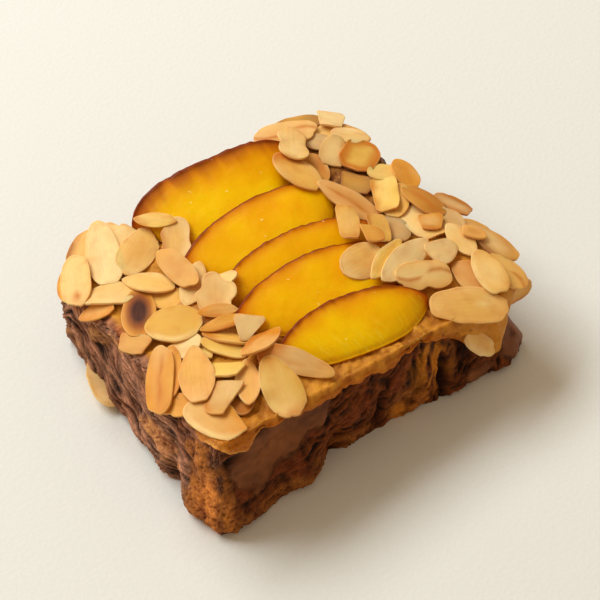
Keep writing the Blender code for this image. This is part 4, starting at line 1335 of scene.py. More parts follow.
# %% The underside and the skin of a wedge
EDGE_STEPS, UNDER_STEPS, SKIN_STEPS = 5, 6, 9
PEACH_SINK = 1.0
EDGE_OVERHANG = 0.35
PEACH_BACK, BACK_SHARE = 1.4, 0.2
SKIN_START, SKIN_TURN, SKIN_FULLNESS = 0.12, 0.86, 0.8


def wedge_under(piece, share, skin, cut, flesh):
    """The rest of each ring: round the cut edge, along the bottom and up the skin."""
    rows = []
    share, skin, cut = share[:, 0], skin[:, 0], cut[:, 0]
    skin_height, cut_height = flesh[:, 0, 2], flesh[:, -1, 2]
    width = skin - cut

    def add_row(offset, height):
        rows.append(np.concatenate([piece.spot(share, offset), height[:, None]], axis=-1))

    def sunk_cream(offset, depth):
        return cream_top(*piece.spot(share, offset).T) - depth

    for turn in np.linspace(0, math.pi / 2, EDGE_STEPS)[1:]:
        fallen = 1 - math.cos(turn)
        height = cut_height * (1 - fallen) + sunk_cream(cut, 0.4 * PEACH_SINK) * fallen
        add_row(cut - EDGE_OVERHANG * math.sin(turn * 2), height)
    for across in np.linspace(0.06, 0.94, UNDER_STEPS):
        offset = cut + width * across
        add_row(offset, sunk_cream(offset, PEACH_SINK))
    bulge = np.minimum(PEACH_BACK, BACK_SHARE * width)
    bottom = sunk_cream(skin, 0.8 * PEACH_SINK)
    for rise in np.linspace(0, 1, SKIN_STEPS + 1)[:-1]:
        out = bulge * math.sin(math.pi * (SKIN_START + SKIN_TURN * rise)) ** SKIN_FULLNESS
        add_row(skin + out, bottom + (skin_height - bottom) * rise)
    return np.stack(rows, axis=1)


print("points in a ring of a wedge:", FLESH_STEPS + EDGE_STEPS - 1 + UNDER_STEPS + SKIN_STEPS)

# %% [markdown]
# Ripe peach flesh is yellow by the stone and more orange under the skin, and where the oven dried it, it
# toasted brown. Pale fibres show only by the cut edge. Along the cut edge the flesh is painted deeper
# orange, as painted shade of the skin edge in front of it, and so is the underside. Distances from the two
# edges pick the colour, so that each band follows the wavy rim. A picture of a peach, wrapped round, would
# smear at the tips.

# %% Colour of the flesh
FLESH_YELLOW = colour(252, 200, 0)
FLESH_ORANGE = colour(240, 168, 0)
FLESH_DEEP = colour(214, 116, 0)
FIBRE_YELLOW = colour(255, 224, 60)
TOASTED = colour(166, 78, 4)
SCORCHED = colour(84, 26, 6)
TOASTED_END = colour(176, 84, 14)
WEDGE_LOOKS = (
    # yellowness of the flesh, width of the toasted band in mm, how toasted the left end is, fibres
    (0.85, 3.6, 0.8, 0.4),
    (0.45, 0.6, 0.7, 0.0),
    (0.4, 0.55, 0.3, 0.0),
    (0.45, 0.6, 0.3, 0.2),
    (0.85, 1.1, 0.7, 0.6),
)
HALF_WEDGE = 27          # about half a wedge's length
BAND_WANDERS = ((4.0, 81, 0.4), (1.3, 83, 0.35))
NARROWEST_BAND = 0.35
END_WIDTH = 3.0


def flesh_paint(share, width, looks, seed):
    """Colour of the flesh at its part of each ring, and how patchy it is."""
    yellow, band, left_end, fibrous = looks
    from_skin, from_cut = (1 - ACROSS_FLESH) * width, ACROSS_FLESH * width
    spots = np.stack(np.broadcast_arrays(share * HALF_WEDGE, from_cut, seed), axis=-1)
    patch = cloud(spots, 6.0, 80)
    bent = spots + np.stack([0.55 * from_cut + 0.8 * patch, 0 * patch, 0 * patch], axis=-1)
    streaks = step_up(cloud(bent / (0.5, 3.0, 1.0), 1.0, 82), 0.35, 0.85)
    wander = clouds(spots * (1, 0, 1), BAND_WANDERS)
    uneven = band * (1 + wander) * (1 - 0.3 * share) * (1 - 0.6 * share ** 6)
    uneven = np.maximum(NARROWEST_BAND, uneven)
    flesh = coats(
        FLESH_ORANGE,
        (FLESH_YELLOW, yellow + 0.5 * patch - 0.25 * ACROSS_FLESH),
        (FLESH_DEEP, 0.8 * fade(from_skin, 1.6 * band + 1.4) + 0.5 * share ** 8),
        # painted shade along the cut edge, under the skin edge of the wedge in front
        (FLESH_DEEP, 0.3 * fade(from_cut, 1.2)),
        (FIBRE_YELLOW, 0.6 * fibrous * streaks * fade(from_cut, 6.5)),
        (TOASTED, 0.9 * fade(from_skin, uneven)),
        (SCORCHED, 0.9 * fade(from_skin, 0.22 * uneven + 0.25)),
        (TOASTED_END, 0.75 * left_end * fade((1 + share) * HALF_WEDGE, END_WIDTH)))
    return flesh, patch


print("looks of the wedges:", len(WEDGE_LOOKS))

# %% [markdown]
# The skin shrank to a thin dark red line that is golden in places. Its colour goes on the last points of
# each ring. The flesh is wet nearly everywhere, and duller in a band by the skin, where it dried.

# %% Colour of the skin, and the wetness
SKIN_RED = colour(120, 42, 14)
SKIN_GOLD = colour(196, 96, 24)
WET, DRIED = 0.75, 0.6
DRIED_AT, DRIED_WIDTH = 2.0, 1.6


def wedge_paint(share, width, count, looks, seed):
    """Colour and wetness of every point of a wedge's rings."""
    flesh, patch = flesh_paint(share, width, looks, seed)
    paint = np.empty((len(share), count, 3))
    paint[:, :FLESH_STEPS] = flesh
    # painted shade: round the cut edge and underneath, the wedge takes a deep orange
    paint[:, FLESH_STEPS:] = tint(flesh[:, -1:], FLESH_DEEP, 0.8)
    blush = 0.5 + 0.5 * patch[:, :1] + np.linspace(-0.5, 0.5, SKIN_STEPS)
    paint[:, -SKIN_STEPS:] = tint(SKIN_GOLD, SKIN_RED, blush)
    paint[:, 0] = tint(paint[:, 0], SKIN_RED, 0.8)
    wet = np.full((len(share), count), WET)
    wet[:, :FLESH_STEPS] -= DRIED * fade((1 - ACROSS_FLESH) * width - DRIED_AT, DRIED_WIDTH)
    return paint, wet


print("skin, from gold to red:", [round(value, 3) for value in SKIN_GOLD + SKIN_RED])

# %% [markdown]
# Peach flesh is translucent like wet candy: light goes in and comes out orange. Its flecks, and the glints
# of juice that are painted as pale specks, are finer than the mesh, so the material draws them. They lie in
# the wedge's own directions, which each point carries, so they follow the fruit and not the room.

# %% The flesh as a material
PEACH_SUBSURFACE = (1.0, 0.4, 0.02)
FLECK_STRETCH = (1.3, 0.5, 1)
GLINT_SIZE, JUICE_GLINT = 1.3, colour(255, 236, 150)
RIPPLE_SIZE, RIPPLE_DEPTH, FLECK_DEPTH = 3.0, 0.2, 0.04
NOTHING = (0.0, 0.0, 0.0)

peach_flesh, tree, shader = plain_material(
    "peach_flesh", 0.3, Specular_IOR_Level=0.11,
    Subsurface_Weight=0.3, Subsurface_Scale=0.004, Subsurface_Radius=PEACH_SUBSURFACE)
tone = painted(tree, "peach_paint")
wetness = painted(tree, "peach_paint", "Alpha")
grain = painted(tree, "peach_grain", "Vector")
fibrous = painted(tree, "peach_grain", "Alpha")
flecks = speckle(tree, place(tree, FLECK_STRETCH, grain), 1.0, 5, 0.7)
fleck_share = mix(tree, fibrous, NOTHING, stretch_range(tree, flecks, 0.58, 0.72, 0, 0.7))
shade = mix(tree, fleck_share, tone, FIBRE_YELLOW)
shade = mix(tree, stretch_range(tree, flecks, 0.42, 0.28, 0, 0.3), shade, FLESH_DEEP)
# painted highlights: pale specks stand for glints on the wet flesh
glints = speckle(tree, place(tree, (1, 1, 1), grain), GLINT_SIZE, 1, 0.4)
shade = mix(tree, stretch_range(tree, glints, 0.77, 0.82, 0, 0.7), shade, JUICE_GLINT)
tree.links.new(shade, shader.inputs["Base Color"])
ripples = speckle(tree, place(tree), RIPPLE_SIZE, 2, 0.4)
ripple_relief = emboss(tree, ripples, RIPPLE_DEPTH)
tree.links.new(emboss(tree, flecks, FLECK_DEPTH, ripple_relief), shader.inputs["Normal"])
tree.links.new(stretch_range(tree, wetness, 0, 1, 0.6, 0.22), shader.inputs["Roughness"])
print("nodes of the peach's material:", len(tree.nodes))

# %% [markdown]
# Five wedges share the same functions and differ in a row of sizes and a row of looks. The directions of
# the flesh bend a little on their way to the cut edge, as fibres do.

# %% The wedges as pieces
SEED_STEP = 13
PATTERN_STEP = 7.0       # keeps the patterns of two wedges apart
FIBRE_REACH = 7.0
TIP_RISE = 0.6

for number, (piece, looks) in enumerate(zip(slices, WEDGE_LOOKS), start=1):
    share, skin, cut, flesh = wedge_flesh(piece, SEED_STEP * number)
    rings = np.concatenate([flesh, wedge_under(piece, share, skin, cut, flesh)], axis=1)
    paint = with_fourth(*wedge_paint(share, skin - cut, rings.shape[1], looks, SEED_STEP * number))
    across = np.zeros(rings.shape[:2])
    across[:, :FLESH_STEPS] = ACROSS_FLESH * (skin - cut)
    lengthwise = share * piece.half_length + 0.4 * across + 0.9 * np.sin(across / 2.3)
    directions = np.stack(np.broadcast_arrays(lengthwise, across, PATTERN_STEP * number), axis=-1)
    grain = with_fourth(directions, looks[-1] * fade(across, FIBRE_REACH))
    ends = [piece.spot(end, 0.0) for end in (-1.0, 1.0)]
    tips = [np.append(end, cream_top(*end) + TIP_RISE) for end in ends]
    make_piece(f"peach_wedge_{number}", *skin_rings(rings, *tips), peach_flesh, "peach_flesh",
               [f"peach_slice_{number}"], peach_paint=with_ends(paint), peach_grain=with_ends(grain))

# %% [markdown]
# The almonds were strewn by hand and lie on each other. A height map of the topping plays that out: each
# flake falls in turn, tilts to what is under it, and raises the map for the next one. So every flake rests
# on something, from whichever side it is seen. A physics simulation would let them slide out of place.

# %% The ground that the flakes fall on
HEAP_CELL = 1.0
HEAP_REACH = 70.0
FLAKE_BED = 0.45         # how deep a flake sinks into what is under it
PEACH_GAP = 0.35
EDGE_FALL_START, EDGE_FALL_END, EDGE_FALL = 3.0, 12.0, 0.45


def inside(outline, x, y):
    """Whether points lie inside a closed outline."""
    within = np.zeros(np.shape(x), bool)
    for one, two in zip(outline, np.roll(outline, 1, 0)):
        crosses = (one[1] > y) != (two[1] > y)
        with np.errstate(divide="ignore", invalid="ignore"):
            left = x < (two[0] - one[0]) * (y - one[1]) / (two[1] - one[1]) + one[0]
        within ^= crosses & left
    return within


def bare_topping(x, y):
    """Height of the cream, and of the falling edge beyond it, where flakes can still lie."""
    edge = crust_points(coarse, cream_top(*coarse.rim.T), np.zeros(len(coarse.rim)))
    away = np.min(np.hypot(edge[:, 0, None, None] - x, edge[:, 1, None, None] - y), axis=0)
    beyond = EDGE_FALL_START + np.where(inside(edge[:, :2], x, y), -away, away)
    fall = np.where(y > np.abs(x), 0.0, EDGE_FALL)
    return np.where(beyond < EDGE_FALL_END, cream_top(x, y) - fall * np.maximum(0, beyond), np.nan)


cell_middles = np.arange(-HEAP_REACH, HEAP_REACH, HEAP_CELL)
ground = bare_topping(*np.meshgrid(cell_middles, cell_middles, indexing="ij"))
print("cells that flakes can lie on:", int(np.isfinite(ground).sum()))

# %% [markdown]
# To settle, a flake feels the map at spots under its oval, fits a plane through them, and rests on the
# highest ones. A flake never tilts steeply, because it would slide. Cells off the pastry hold no height,
# and no flake raises them.

# %% The heap
FLAKE_THICKNESS = 1.2
FLAKE_STEEPEST = 0.42
FLAKE_REST = 0.9         # share of the spots that lie under the flake when it rests
# spots from the middle to the head and to a side, how far out they lie, in lengths and widths of the
# flake, and how far past its oval they may be
FEELERS = dict(along=4, across=3, reach=0.46, edge=1.05)
FOOTPRINT = dict(along=20, across=14, reach=0.5, edge=1.0)
WEDGE_SHARE, WEDGE_ACROSS = np.meshgrid(np.linspace(-1, 1, 121), np.linspace(0, 1, 41), indexing="ij")


class Heap:
    """A height map of the topping, on which flakes settle one after another."""

    def __init__(self, ground, slices):
        self.height = ground.copy()
        for piece in slices:
            skin, cut = piece.edges(WEDGE_SHARE)
            spots = piece.spot(WEDGE_SHARE, cut + (skin - cut) * WEDGE_ACROSS)
            tops = piece.top(WEDGE_SHARE, WEDGE_ACROSS) + PEACH_GAP + FLAKE_BED
            for spot, top in zip(spots.reshape(-1, 2), tops.ravel()):
                cell = self.cell(*spot)
                self.height[cell] = np.fmax(self.height[cell], top)

    def cell(self, *spot):
        """Index of the cell that a spot falls in."""
        return tuple(int(round((value + HEAP_REACH) / HEAP_CELL)) for value in spot)

    def spots_under(self, x, y, turn, length, width, along, across, reach, edge):
        """Spots spread over a flake's oval, as offsets from its middle, and their cells."""
        for i, j in itertools.product(range(-along, along + 1), range(-across, across + 1)):
            if (i / along) ** 2 + (j / across) ** 2 <= edge:
                offset = turn @ Vector((i / along * length * reach, j / across * width * reach))
                yield offset, self.cell(x + offset.x, y + offset.y)

    def settle(self, x, y, heading, length, width):
        """Let a flake fall: fit a plane to what is under it, raise it clear, and lay it there."""
        turn = Matrix.Rotation(math.radians(heading), 2)
        under = [(offset.x, offset.y, self.height[cell])
                 for offset, cell in self.spots_under(x, y, turn, length, width, **FEELERS)]
        under = np.array([spot for spot in under if not np.isnan(spot[2])])
        sheet = np.c_[under[:, :2], np.ones(len(under))]
        slope = np.linalg.lstsq(sheet, under[:, 2], rcond=None)[0][:2]
        steepness = float(np.hypot(*slope))
        if steepness > FLAKE_STEEPEST:
            slope = slope * FLAKE_STEEPEST / steepness
        middle = float(np.quantile(under[:, 2] - under[:, :2] @ slope, FLAKE_REST))
        for offset, cell in self.spots_under(x, y, turn, length, width, **FOOTPRINT):
            top = middle + slope[0] * offset.x + slope[1] * offset.y + FLAKE_THICKNESS - FLAKE_BED
            self.height[cell] = np.maximum(self.height[cell], top)
        return self.resting_frame(x, y, turn, slope, middle)

    def resting_frame(self, x, y, turn, slope, middle):
        """Place and directions of a flake that lies on a slope."""
        up = Vector((-slope[0], -slope[1], 1)).normalized()
        forward = (turn @ Vector((1, 0))).to_3d()
        forward = (forward - up * forward.dot(up)).normalized()
        resting = Matrix((forward, up.cross(forward), up)).transposed().to_4x4()
        resting.translation = Vector((x, y, middle - FLAKE_BED)) + up * FLAKE_THICKNESS / 2
        return resting


heap = Heap(ground, slices)
print("topping is up to", np.nanmax(heap.height).round(1), "mm high before the almonds")

# %% [markdown]
# Blanched almonds are shaved into flakes about a millimetre thick. Few stay whole ovals: most lost a tip, a
# corner or a side to the blade. Each form here is an oval that is squared or pointed, then cut straight
# across in some directions and nicked in others. A few words per form are enough to draw it, and noise
# makes two flakes of one form differ.

# %% The forms that a flake breaks into
FORMS = {
    # squareness, how much the head is narrower than the tail, cuts (direction, distance), nicks
    # (direction, depth, half width); directions in degrees from the head, distances in half sizes
    "oval": (2.0, 0.1, ((150, 0.95),), ()),
    "egg": (2.1, 0.4, ((176, 0.93),), ()),
    "leaf": (1.65, 0.1, ((205, 0.9),), ()),
    "spear": (1.75, 0.5, ((180, 0.9),), ((75, 0.06, 12),)),
    "blunt": (2.5, 0.1, ((165, 0.93), (-20, 0.95)), ()),
    "wedge": (1.8, -0.7, ((8, 0.86), (-82, 0.62)), ()),
    "long_wedge": (1.9, -0.75, ((20, 0.9), (100, 0.72)), ((140, 0.05, 10),)),
    "tipless": (2.1, 0.2, ((0, 0.7),), ((35, 0.06, 9),)),
    "tailless": (2.1, 0.2, ((180, 0.72), (140, 0.9)), ()),
    "half": (2.2, 0.0, ((5, 0.3),), ((50, 0.08, 10),)),
    "block": (3.2, -0.15, ((0, 0.86), (183, 0.9), (90, 0.85)), ()),
    "kite": (1.7, 0.4, ((88, 0.68), (-150, 0.85)), ()),
    "trapeze": (2.6, 0.1, ((12, 0.74), (172, 0.8), (-80, 0.78)), ((125, 0.08, 10),)),
    "shard": (2.0, 0.0, ((28, 0.5), (150, 0.66), (-92, 0.72)), ()),
    "sector": (2.3, 0.1, ((0, 0.52), (-116, 0.62)), ()),
    "cornered": (2.3, 0.0, ((-26, 0.84), (155, 0.9), (64, 0.92)), ()),
    "chipped": (2.1, 0.35, ((180, 0.94), (-150, 0.93)), ((172, 0.07, 7),)),
    "torn_tail": (2.2, 0.3, ((-135, 0.82), (166, 0.86)), ((-168, 0.05, 6),)),
    "waisted": (2.6, 0.0, ((38, 0.86),), ((88, 0.26, 24), (-84, 0.2, 22))),
    "bitten": (2.4, 0.0, ((180, 0.85),), ((70, 0.2, 13), (20, 0.12, 9), (-60, 0.1, 10))),
    "star": (2.6, 0.0, ((100, 0.86),), ((52, 0.36, 24), (-42, 0.34, 22), (-122, 0.28, 18), (160, 0.3, 20))),
    "two_lobed": (2.5, 0.1, ((-96, 0.9),), ((92, 0.24, 13), (30, 0.08, 8))),
    "slab": (3.0, 0.15, ((62, 0.97), (-140, 0.9)), ((-60, 0.05, 12), (150, 0.06, 8))),
}
WOBBLES = ((0.9, 90, 0.05), (0.25, 91, 0.014))
CUT_WOBBLE = (0.3, 92)
NARROWING = 0.45
BARELY_FACING = 0.05


def flake_outline(form, count, seed):
    """A flake's outline within a circle of radius 1, its head towards +x."""
    squareness, narrow, cuts, nicks = FORMS[form]
    turn = np.linspace(0, 2 * np.pi, count, endpoint=False)
    reach = (np.abs(np.cos(turn)) ** squareness + np.abs(np.sin(turn)) ** squareness) ** (-1 / squareness)
    circle = np.stack([np.cos(turn) * 1.3, np.sin(turn) * 1.3, seed * 7.7 + 0 * turn], axis=-1)
    reach = reach * (0.985 + clouds(circle, WOBBLES))
    for direction, depth, half_width in nicks:
        apart = (np.degrees(turn) - direction + 180) % 360 - 180
        reach = reach * (1 - depth * fade(apart, half_width))
    for direction, distance in cuts:
        towards_cut = np.maximum(np.cos(turn - math.radians(direction)), BARELY_FACING)
        rough = distance * (1 + 0.025 * cloud(circle * 2.5 + direction, *CUT_WOBBLE))
        reach = np.where(towards_cut > BARELY_FACING, np.minimum(reach, rough / towards_cut), reach)
    x, y = reach * np.cos(turn), reach * np.sin(turn)
    return np.stack([x, y * (1 - NARROWING * narrow * x)], axis=-1)


print("forms of broken almond:", len(FORMS))

# %% [markdown]
# Each flake of the two heaps has a row: where the solid model lays it, how long and wide it is, and then
# its form, its tone, its mark and how much it bows. The rows follow the pastry in the order in which the
# flakes fell, so later ones lie on top.

# %% The left heap
LEFT_HEAP = (
    # x, y, heading, length, width, form, tone, mark, bow
    (-50.3, 38, 55, 13, 6.5, "oval", "yellow", "edge", 0.2),
    (-40, 45, 40, 18, 9.6, "oval", "peachy", "brown_rim", 0.4),
    (-31, 43, 75, 14, 8, "oval", "pale", "plain", 0.2),
    (-28.8, 41.8, 100, 11, 8, "tipless", "pale", "plain", -0.2),
    (-49.8, 22.9, 160, 11.5, 5.6, "tailless", "amber", "tips", -0.3),
    (-45.5, 25, 145, 16, 10.5, "kite", "pale", "plain", 0.3),
    (-49.6, 6.0, 118, 11, 7, "trapeze", "tan", "tips", 0.3),
    (-33, 13.5, 140, 13, 8, "tailless", "gold", "plain", 0.2),
    (-29.5, 3.5, 120, 13, 8, "oval", "toasted", "plain", 0.2),
    (-25.5, 12, 40, 15, 7, "leaf", "pale", "rim", -0.5),
    (-19.5, 29, 55, 16, 9.5, "waisted", "pale", "edge", -0.4),
    (-38.5, -28.5, 60, 14, 8, "oval", "browned", "plain", 0.2),
    (-53, -20, 130, 10, 7, "bitten", "amber", "tips", 0.2),
    (-48.9, -31.8, 110, 19.5, 10.6, "torn_tail", "amber", "rim", 0.4),
    (-37, -6.5, 95, 12, 6, "leaf", "yellow", "plain", 0.2),
    (-40, -5, 5, 10, 7, "oval", "cream", "plain", 0.2),
    (-48, -10, 55, 17, 6, "oval", "amber", "tips", 0.2),
    (-34.5, -26.5, 55, 18, 7, "leaf", "pinkish", "rim", -0.6),
    (-42.5, 14, 55, 18.3, 9.6, "egg", "amber", "scorched", 0.3),
    (-48.8, 36, 60, 19.5, 8.5, "blunt", "peachy", "blot", 0.4),
    (-34.2, 21.2, 125, 15.4, 9.8, "leaf", "pale", "plain", 0.4),
    (-37.2, 39.7, 65, 25, 9.8, "egg", "cream", "plain", 0.6),
    (-29.5, 34, 30, 18, 10.5, "cornered", "pale", "faint", 0.5),
    (-19.9, 38.4, 135, 12.5, 4.6, "leaf", "yellow", "tips", 0.2),
    (-25.5, 19.5, 90, 19.5, 7.2, "blunt", "shaded", "faint", 0.5),
    (-19.7, 6.5, 145, 10.2, 7.5, "wedge", "cream", "plain", -0.5),
    (-24.0, 3.1, 60, 13.2, 12.0, "star", "pale", "faint", -0.4),
    (-37.9, 3.3, 150, 15.6, 13.2, "oval", "olive", "rim", 0.8),
    (-26.5, -1.5, 150, 11, 4, "leaf", "amber", "edge", 0.3),
    (-32, -12, 125, 14, 6, "leaf", "yellow", "plain", 0.5),
    (-29, -10, 135, 15, 6, "leaf", "gold", "head", 0.6),
    (-27.5, -6, 160, 13.5, 4, "leaf", "amber", "edge", 0.4),
    (-23, -10.5, 20, 10.5, 8.2, "shard", "cream", "plain", -0.4),
    (-52, -10.5, 50, 22, 8, "blunt", "amber", "streak", 0.6),
    (-42, -26.5, 44, 16, 10.0, "sector", "shaded", "edge", 0.5),
    (-36.5, -19.5, 125, 10.5, 7.8, "trapeze", "yellow", "plain", 0.3),
    (-44, -16, 60, 21.5, 9.5, "spear", "pinkish", "plain", 0.6),
    (-20.5, -29, 125, 22.5, 8.5, "long_wedge", "shaded", "head", 0.5),
    (-28.1, -33.0, 75, 20.8, 10.5, "chipped", "olive", "tips", 0.6),
    (-24, -18.5, 15, 15, 7, "leaf", "juicy", "edge", -0.5),
)
print("almonds in the left heap:", len(LEFT_HEAP))

# %% [markdown]
# The right heap has more flakes that browned. Three other flakes hang on the sides, stuck in the cream or
# the syrup. Nothing is under them, so their rows also give their height and how they lean.

# %% The right heap and the hanging flakes
RIGHT_HEAP = (
    (48, 35.5, 120, 11, 7, "oval", "tan", "plain", 0.2),
    (40.5, 40, 130, 10, 6.5, "blunt", "pale", "plain", 0.2),
    (37, 37.5, 130, 10.5, 5.5, "oval", "greyish", "plain", 0.2),
    (29.5, 29.5, 75, 13, 8, "oval", "toasted", "heart", 0.3),
    (36, 17.5, 120, 12, 8, "trapeze", "dull", "dark_rim", 0.2),
    (45, 16.5, 160, 10, 7, "oval", "yellow", "plain", 0.2),
    (33.5, -3, 95, 11, 8.5, "oval", "dull", "heart", 0.2),
    (55.8, -2.5, 120, 12.3, 7, "bitten", "browned", "edge", 0.2),
    (54, -14, 130, 10.5, 6, "oval", "tan", "plain", 0.2),
    (49, -9.5, 85, 11, 7, "oval", "greyish", "plain", 0.2),
    (50.5, -33, 100, 14, 10.5, "oval", "gold", "fold", 0.3),
    (42, -5.5, 95, 16, 10, "trapeze", "pale", "plain", 0.3),
    (41, -31, 100, 16, 9.5, "egg", "toasted", "tips", 0.4),
    (36.2, 47, 157, 15, 7, "oval", "dull", "brown_rim", 0.2),
    (45.5, 43, 140, 9.5, 11, "trapeze", "cream", "plain", 0.4),
    (31.2, 45.8, 150, 18.6, 8.0, "blunt", "peachy", "fold", 0.5),
    (22, 28, 90, 18.5, 12, "leaf", "gold", "head", 0.7),
    (45.5, 33.5, 140, 11.5, 5.5, "oval", "cream", "plain", 0.2),
    (37.5, 31, 45, 12, 7.5, "tailless", "shaded", "plain", 0.3),
    (41, 5, 45, 13.5, 7, "egg", "gold", "rim", 0.4),
    (50, 13, 70, 12, 8.5, "oval", "amber", "faint", 0.5),
    (28, 38.2, 55, 16, 10, "waisted", "peachy", "plain", -0.4),
    (43, 25.5, 145, 12, 13, "cornered", "honey", "ring", -0.9),
    (28.5, 11.5, 115, 21, 8.5, "spear", "pinkish", "streak", 0.6),
    (20.7, 2.0, 55, 18.5, 6.5, "block", "gold", "tips", 0.3),
    (28.7, -2, 70, 11, 6.4, "block", "gold", "edge", 0.3),
    (22.2, -5.6, 155, 9.5, 7.5, "half", "toasted", "head", 0.3),
    (39.4, 8.4, 60, 14.8, 8, "block", "yellow", "edge", -0.5),
    (47, 0.5, 100, 15.5, 9, "oval", "browned", "streak", 0.4),
    (43.5, -7.5, 145, 8, 6, "trapeze", "amber", "edge", 0.3),
    (46.5, -17.5, 90, 13, 7, "leaf", "pale", "rim", 0.4),
    (55, -22.5, 105, 15, 9, "blunt", "tan", "brown_rim", 0.4),
    (50.5, -17.5, 140, 8, 5, "tipless", "amber", "heart", 0.3),
    (45, -32, 80, 16, 8.5, "egg", "gold", "rim", 0.5),
    (15.7, -11.5, 175, 13.5, 10.5, "oval", "pale", "faint", 0.6),
    (21.7, -14.6, 25, 16.5, 6.2, "leaf", "yellow", "rim", 0.5),
    (26.4, -17.2, 15, 22, 8, "leaf", "cream", "rim", 0.6),
    (38.5, -18.5, 175, 11, 9, "wedge", "cream", "plain", 0.4),
    (27.9, -23.8, 160, 16.8, 9.3, "two_lobed", "peachy", "fold", 0.5),
    (33.4, -37.6, 150, 22.7, 10.8, "slab", "peachy", "blob", 0.6),
)
HANGING_FLAKES = (
    # x, y, z, heading, length, width, tip down, side fall, form, tone, mark, bow
    (32.8, -43.8, 19.4, -33, 12.5, 7.4, 44, 22, "bitten", "cream", "rim", 0.3),
    (53.5, -36.3, 19.9, 0, 7.6, 11.5, 0, -78, "blunt", "tan", "edge", 0.2),
    (-52.6, 18.6, 2.6, 78, 19, 9.5, 0, 12, "egg", "cream", "faint", 0.4),
)
print("almonds in all:", len(LEFT_HEAP) + len(RIGHT_HEAP) + len(HANGING_FLAKES))

# %% [markdown]
# A flake has two nearly flat faces and a crisp edge a little under a millimetre high, where the blade left
# it. The oven warped the faces a little. It is built as rings that shrink from the outline to the middle,
# once for the upper face and once for the lower. The solid's plain ovals stand for forms with lost corners,
# so a flake is drawn a little larger than its oval.

# %% The shape of a flake
RIM_POINTS = 48
FLAKE_RINGS = (0.35, 0.65, 0.85, 0.94, 0.985, 1.0)
RING_THICKNESS = (1.0, 1.0, 1.0, 1.0, 1.0, 0.86)
SHAVED_THICKNESS = 0.68
DRAWN_LARGER = 1.05
BOWING = 0.45
WARPS = ((6.0, 93, 0.28), (2.0, 94, 0.07))
CURLED_EDGE, CURLED_HEIGHT = (4.5, 97), 0.35


def flake_shape(length, width, form, bow, seed):
    """Points of a flake's two faces in its own frame, ring by ring, and their place across it."""
    outline = flake_outline(form, RIM_POINTS, seed)
    rings = np.array([DRAWN_LARGER * outline * share for share in FLAKE_RINGS])
    x, y = rings[..., 0] * length / 2, rings[..., 1] * width / 2
    reach = np.broadcast_to(np.array(FLAKE_RINGS)[:, None], x.shape)
    half = SHAVED_THICKNESS / 2 * np.array(RING_THICKNESS)[:, None]
    local = np.stack([x, y, 0 * x + seed * 3.1], axis=-1)
    middle = BOWING * bow * (0.5 - rings[..., 0] ** 2 - 0.35 * rings[..., 1] ** 2)
    middle += clouds(local, WARPS)
    middle += CURLED_HEIGHT * step_up(reach, 0.5, 1.0) * cloud(local, *CURLED_EDGE)
    upper = np.stack([x, y, middle + half], axis=-1)
    lower = np.stack([x, y, middle - half], axis=-1)
    return tuple(np.concatenate([face, back[::-1]]) for face, back in (
        (upper, lower), (rings, rings), (reach, reach)))


print("points of a flake:", 2 * RIM_POINTS * len(FLAKE_RINGS) + 2)

# %% [markdown]
# The oven toasts a flake from its thin parts inward, or scorches the middle where it stood up to the heat.
# Tones name the overall colour, and marks say where it is darker. The colours are laid on the points of
# the mesh, and the material adds the fine grain. A mark takes one line, and
# it can be given to any flake.

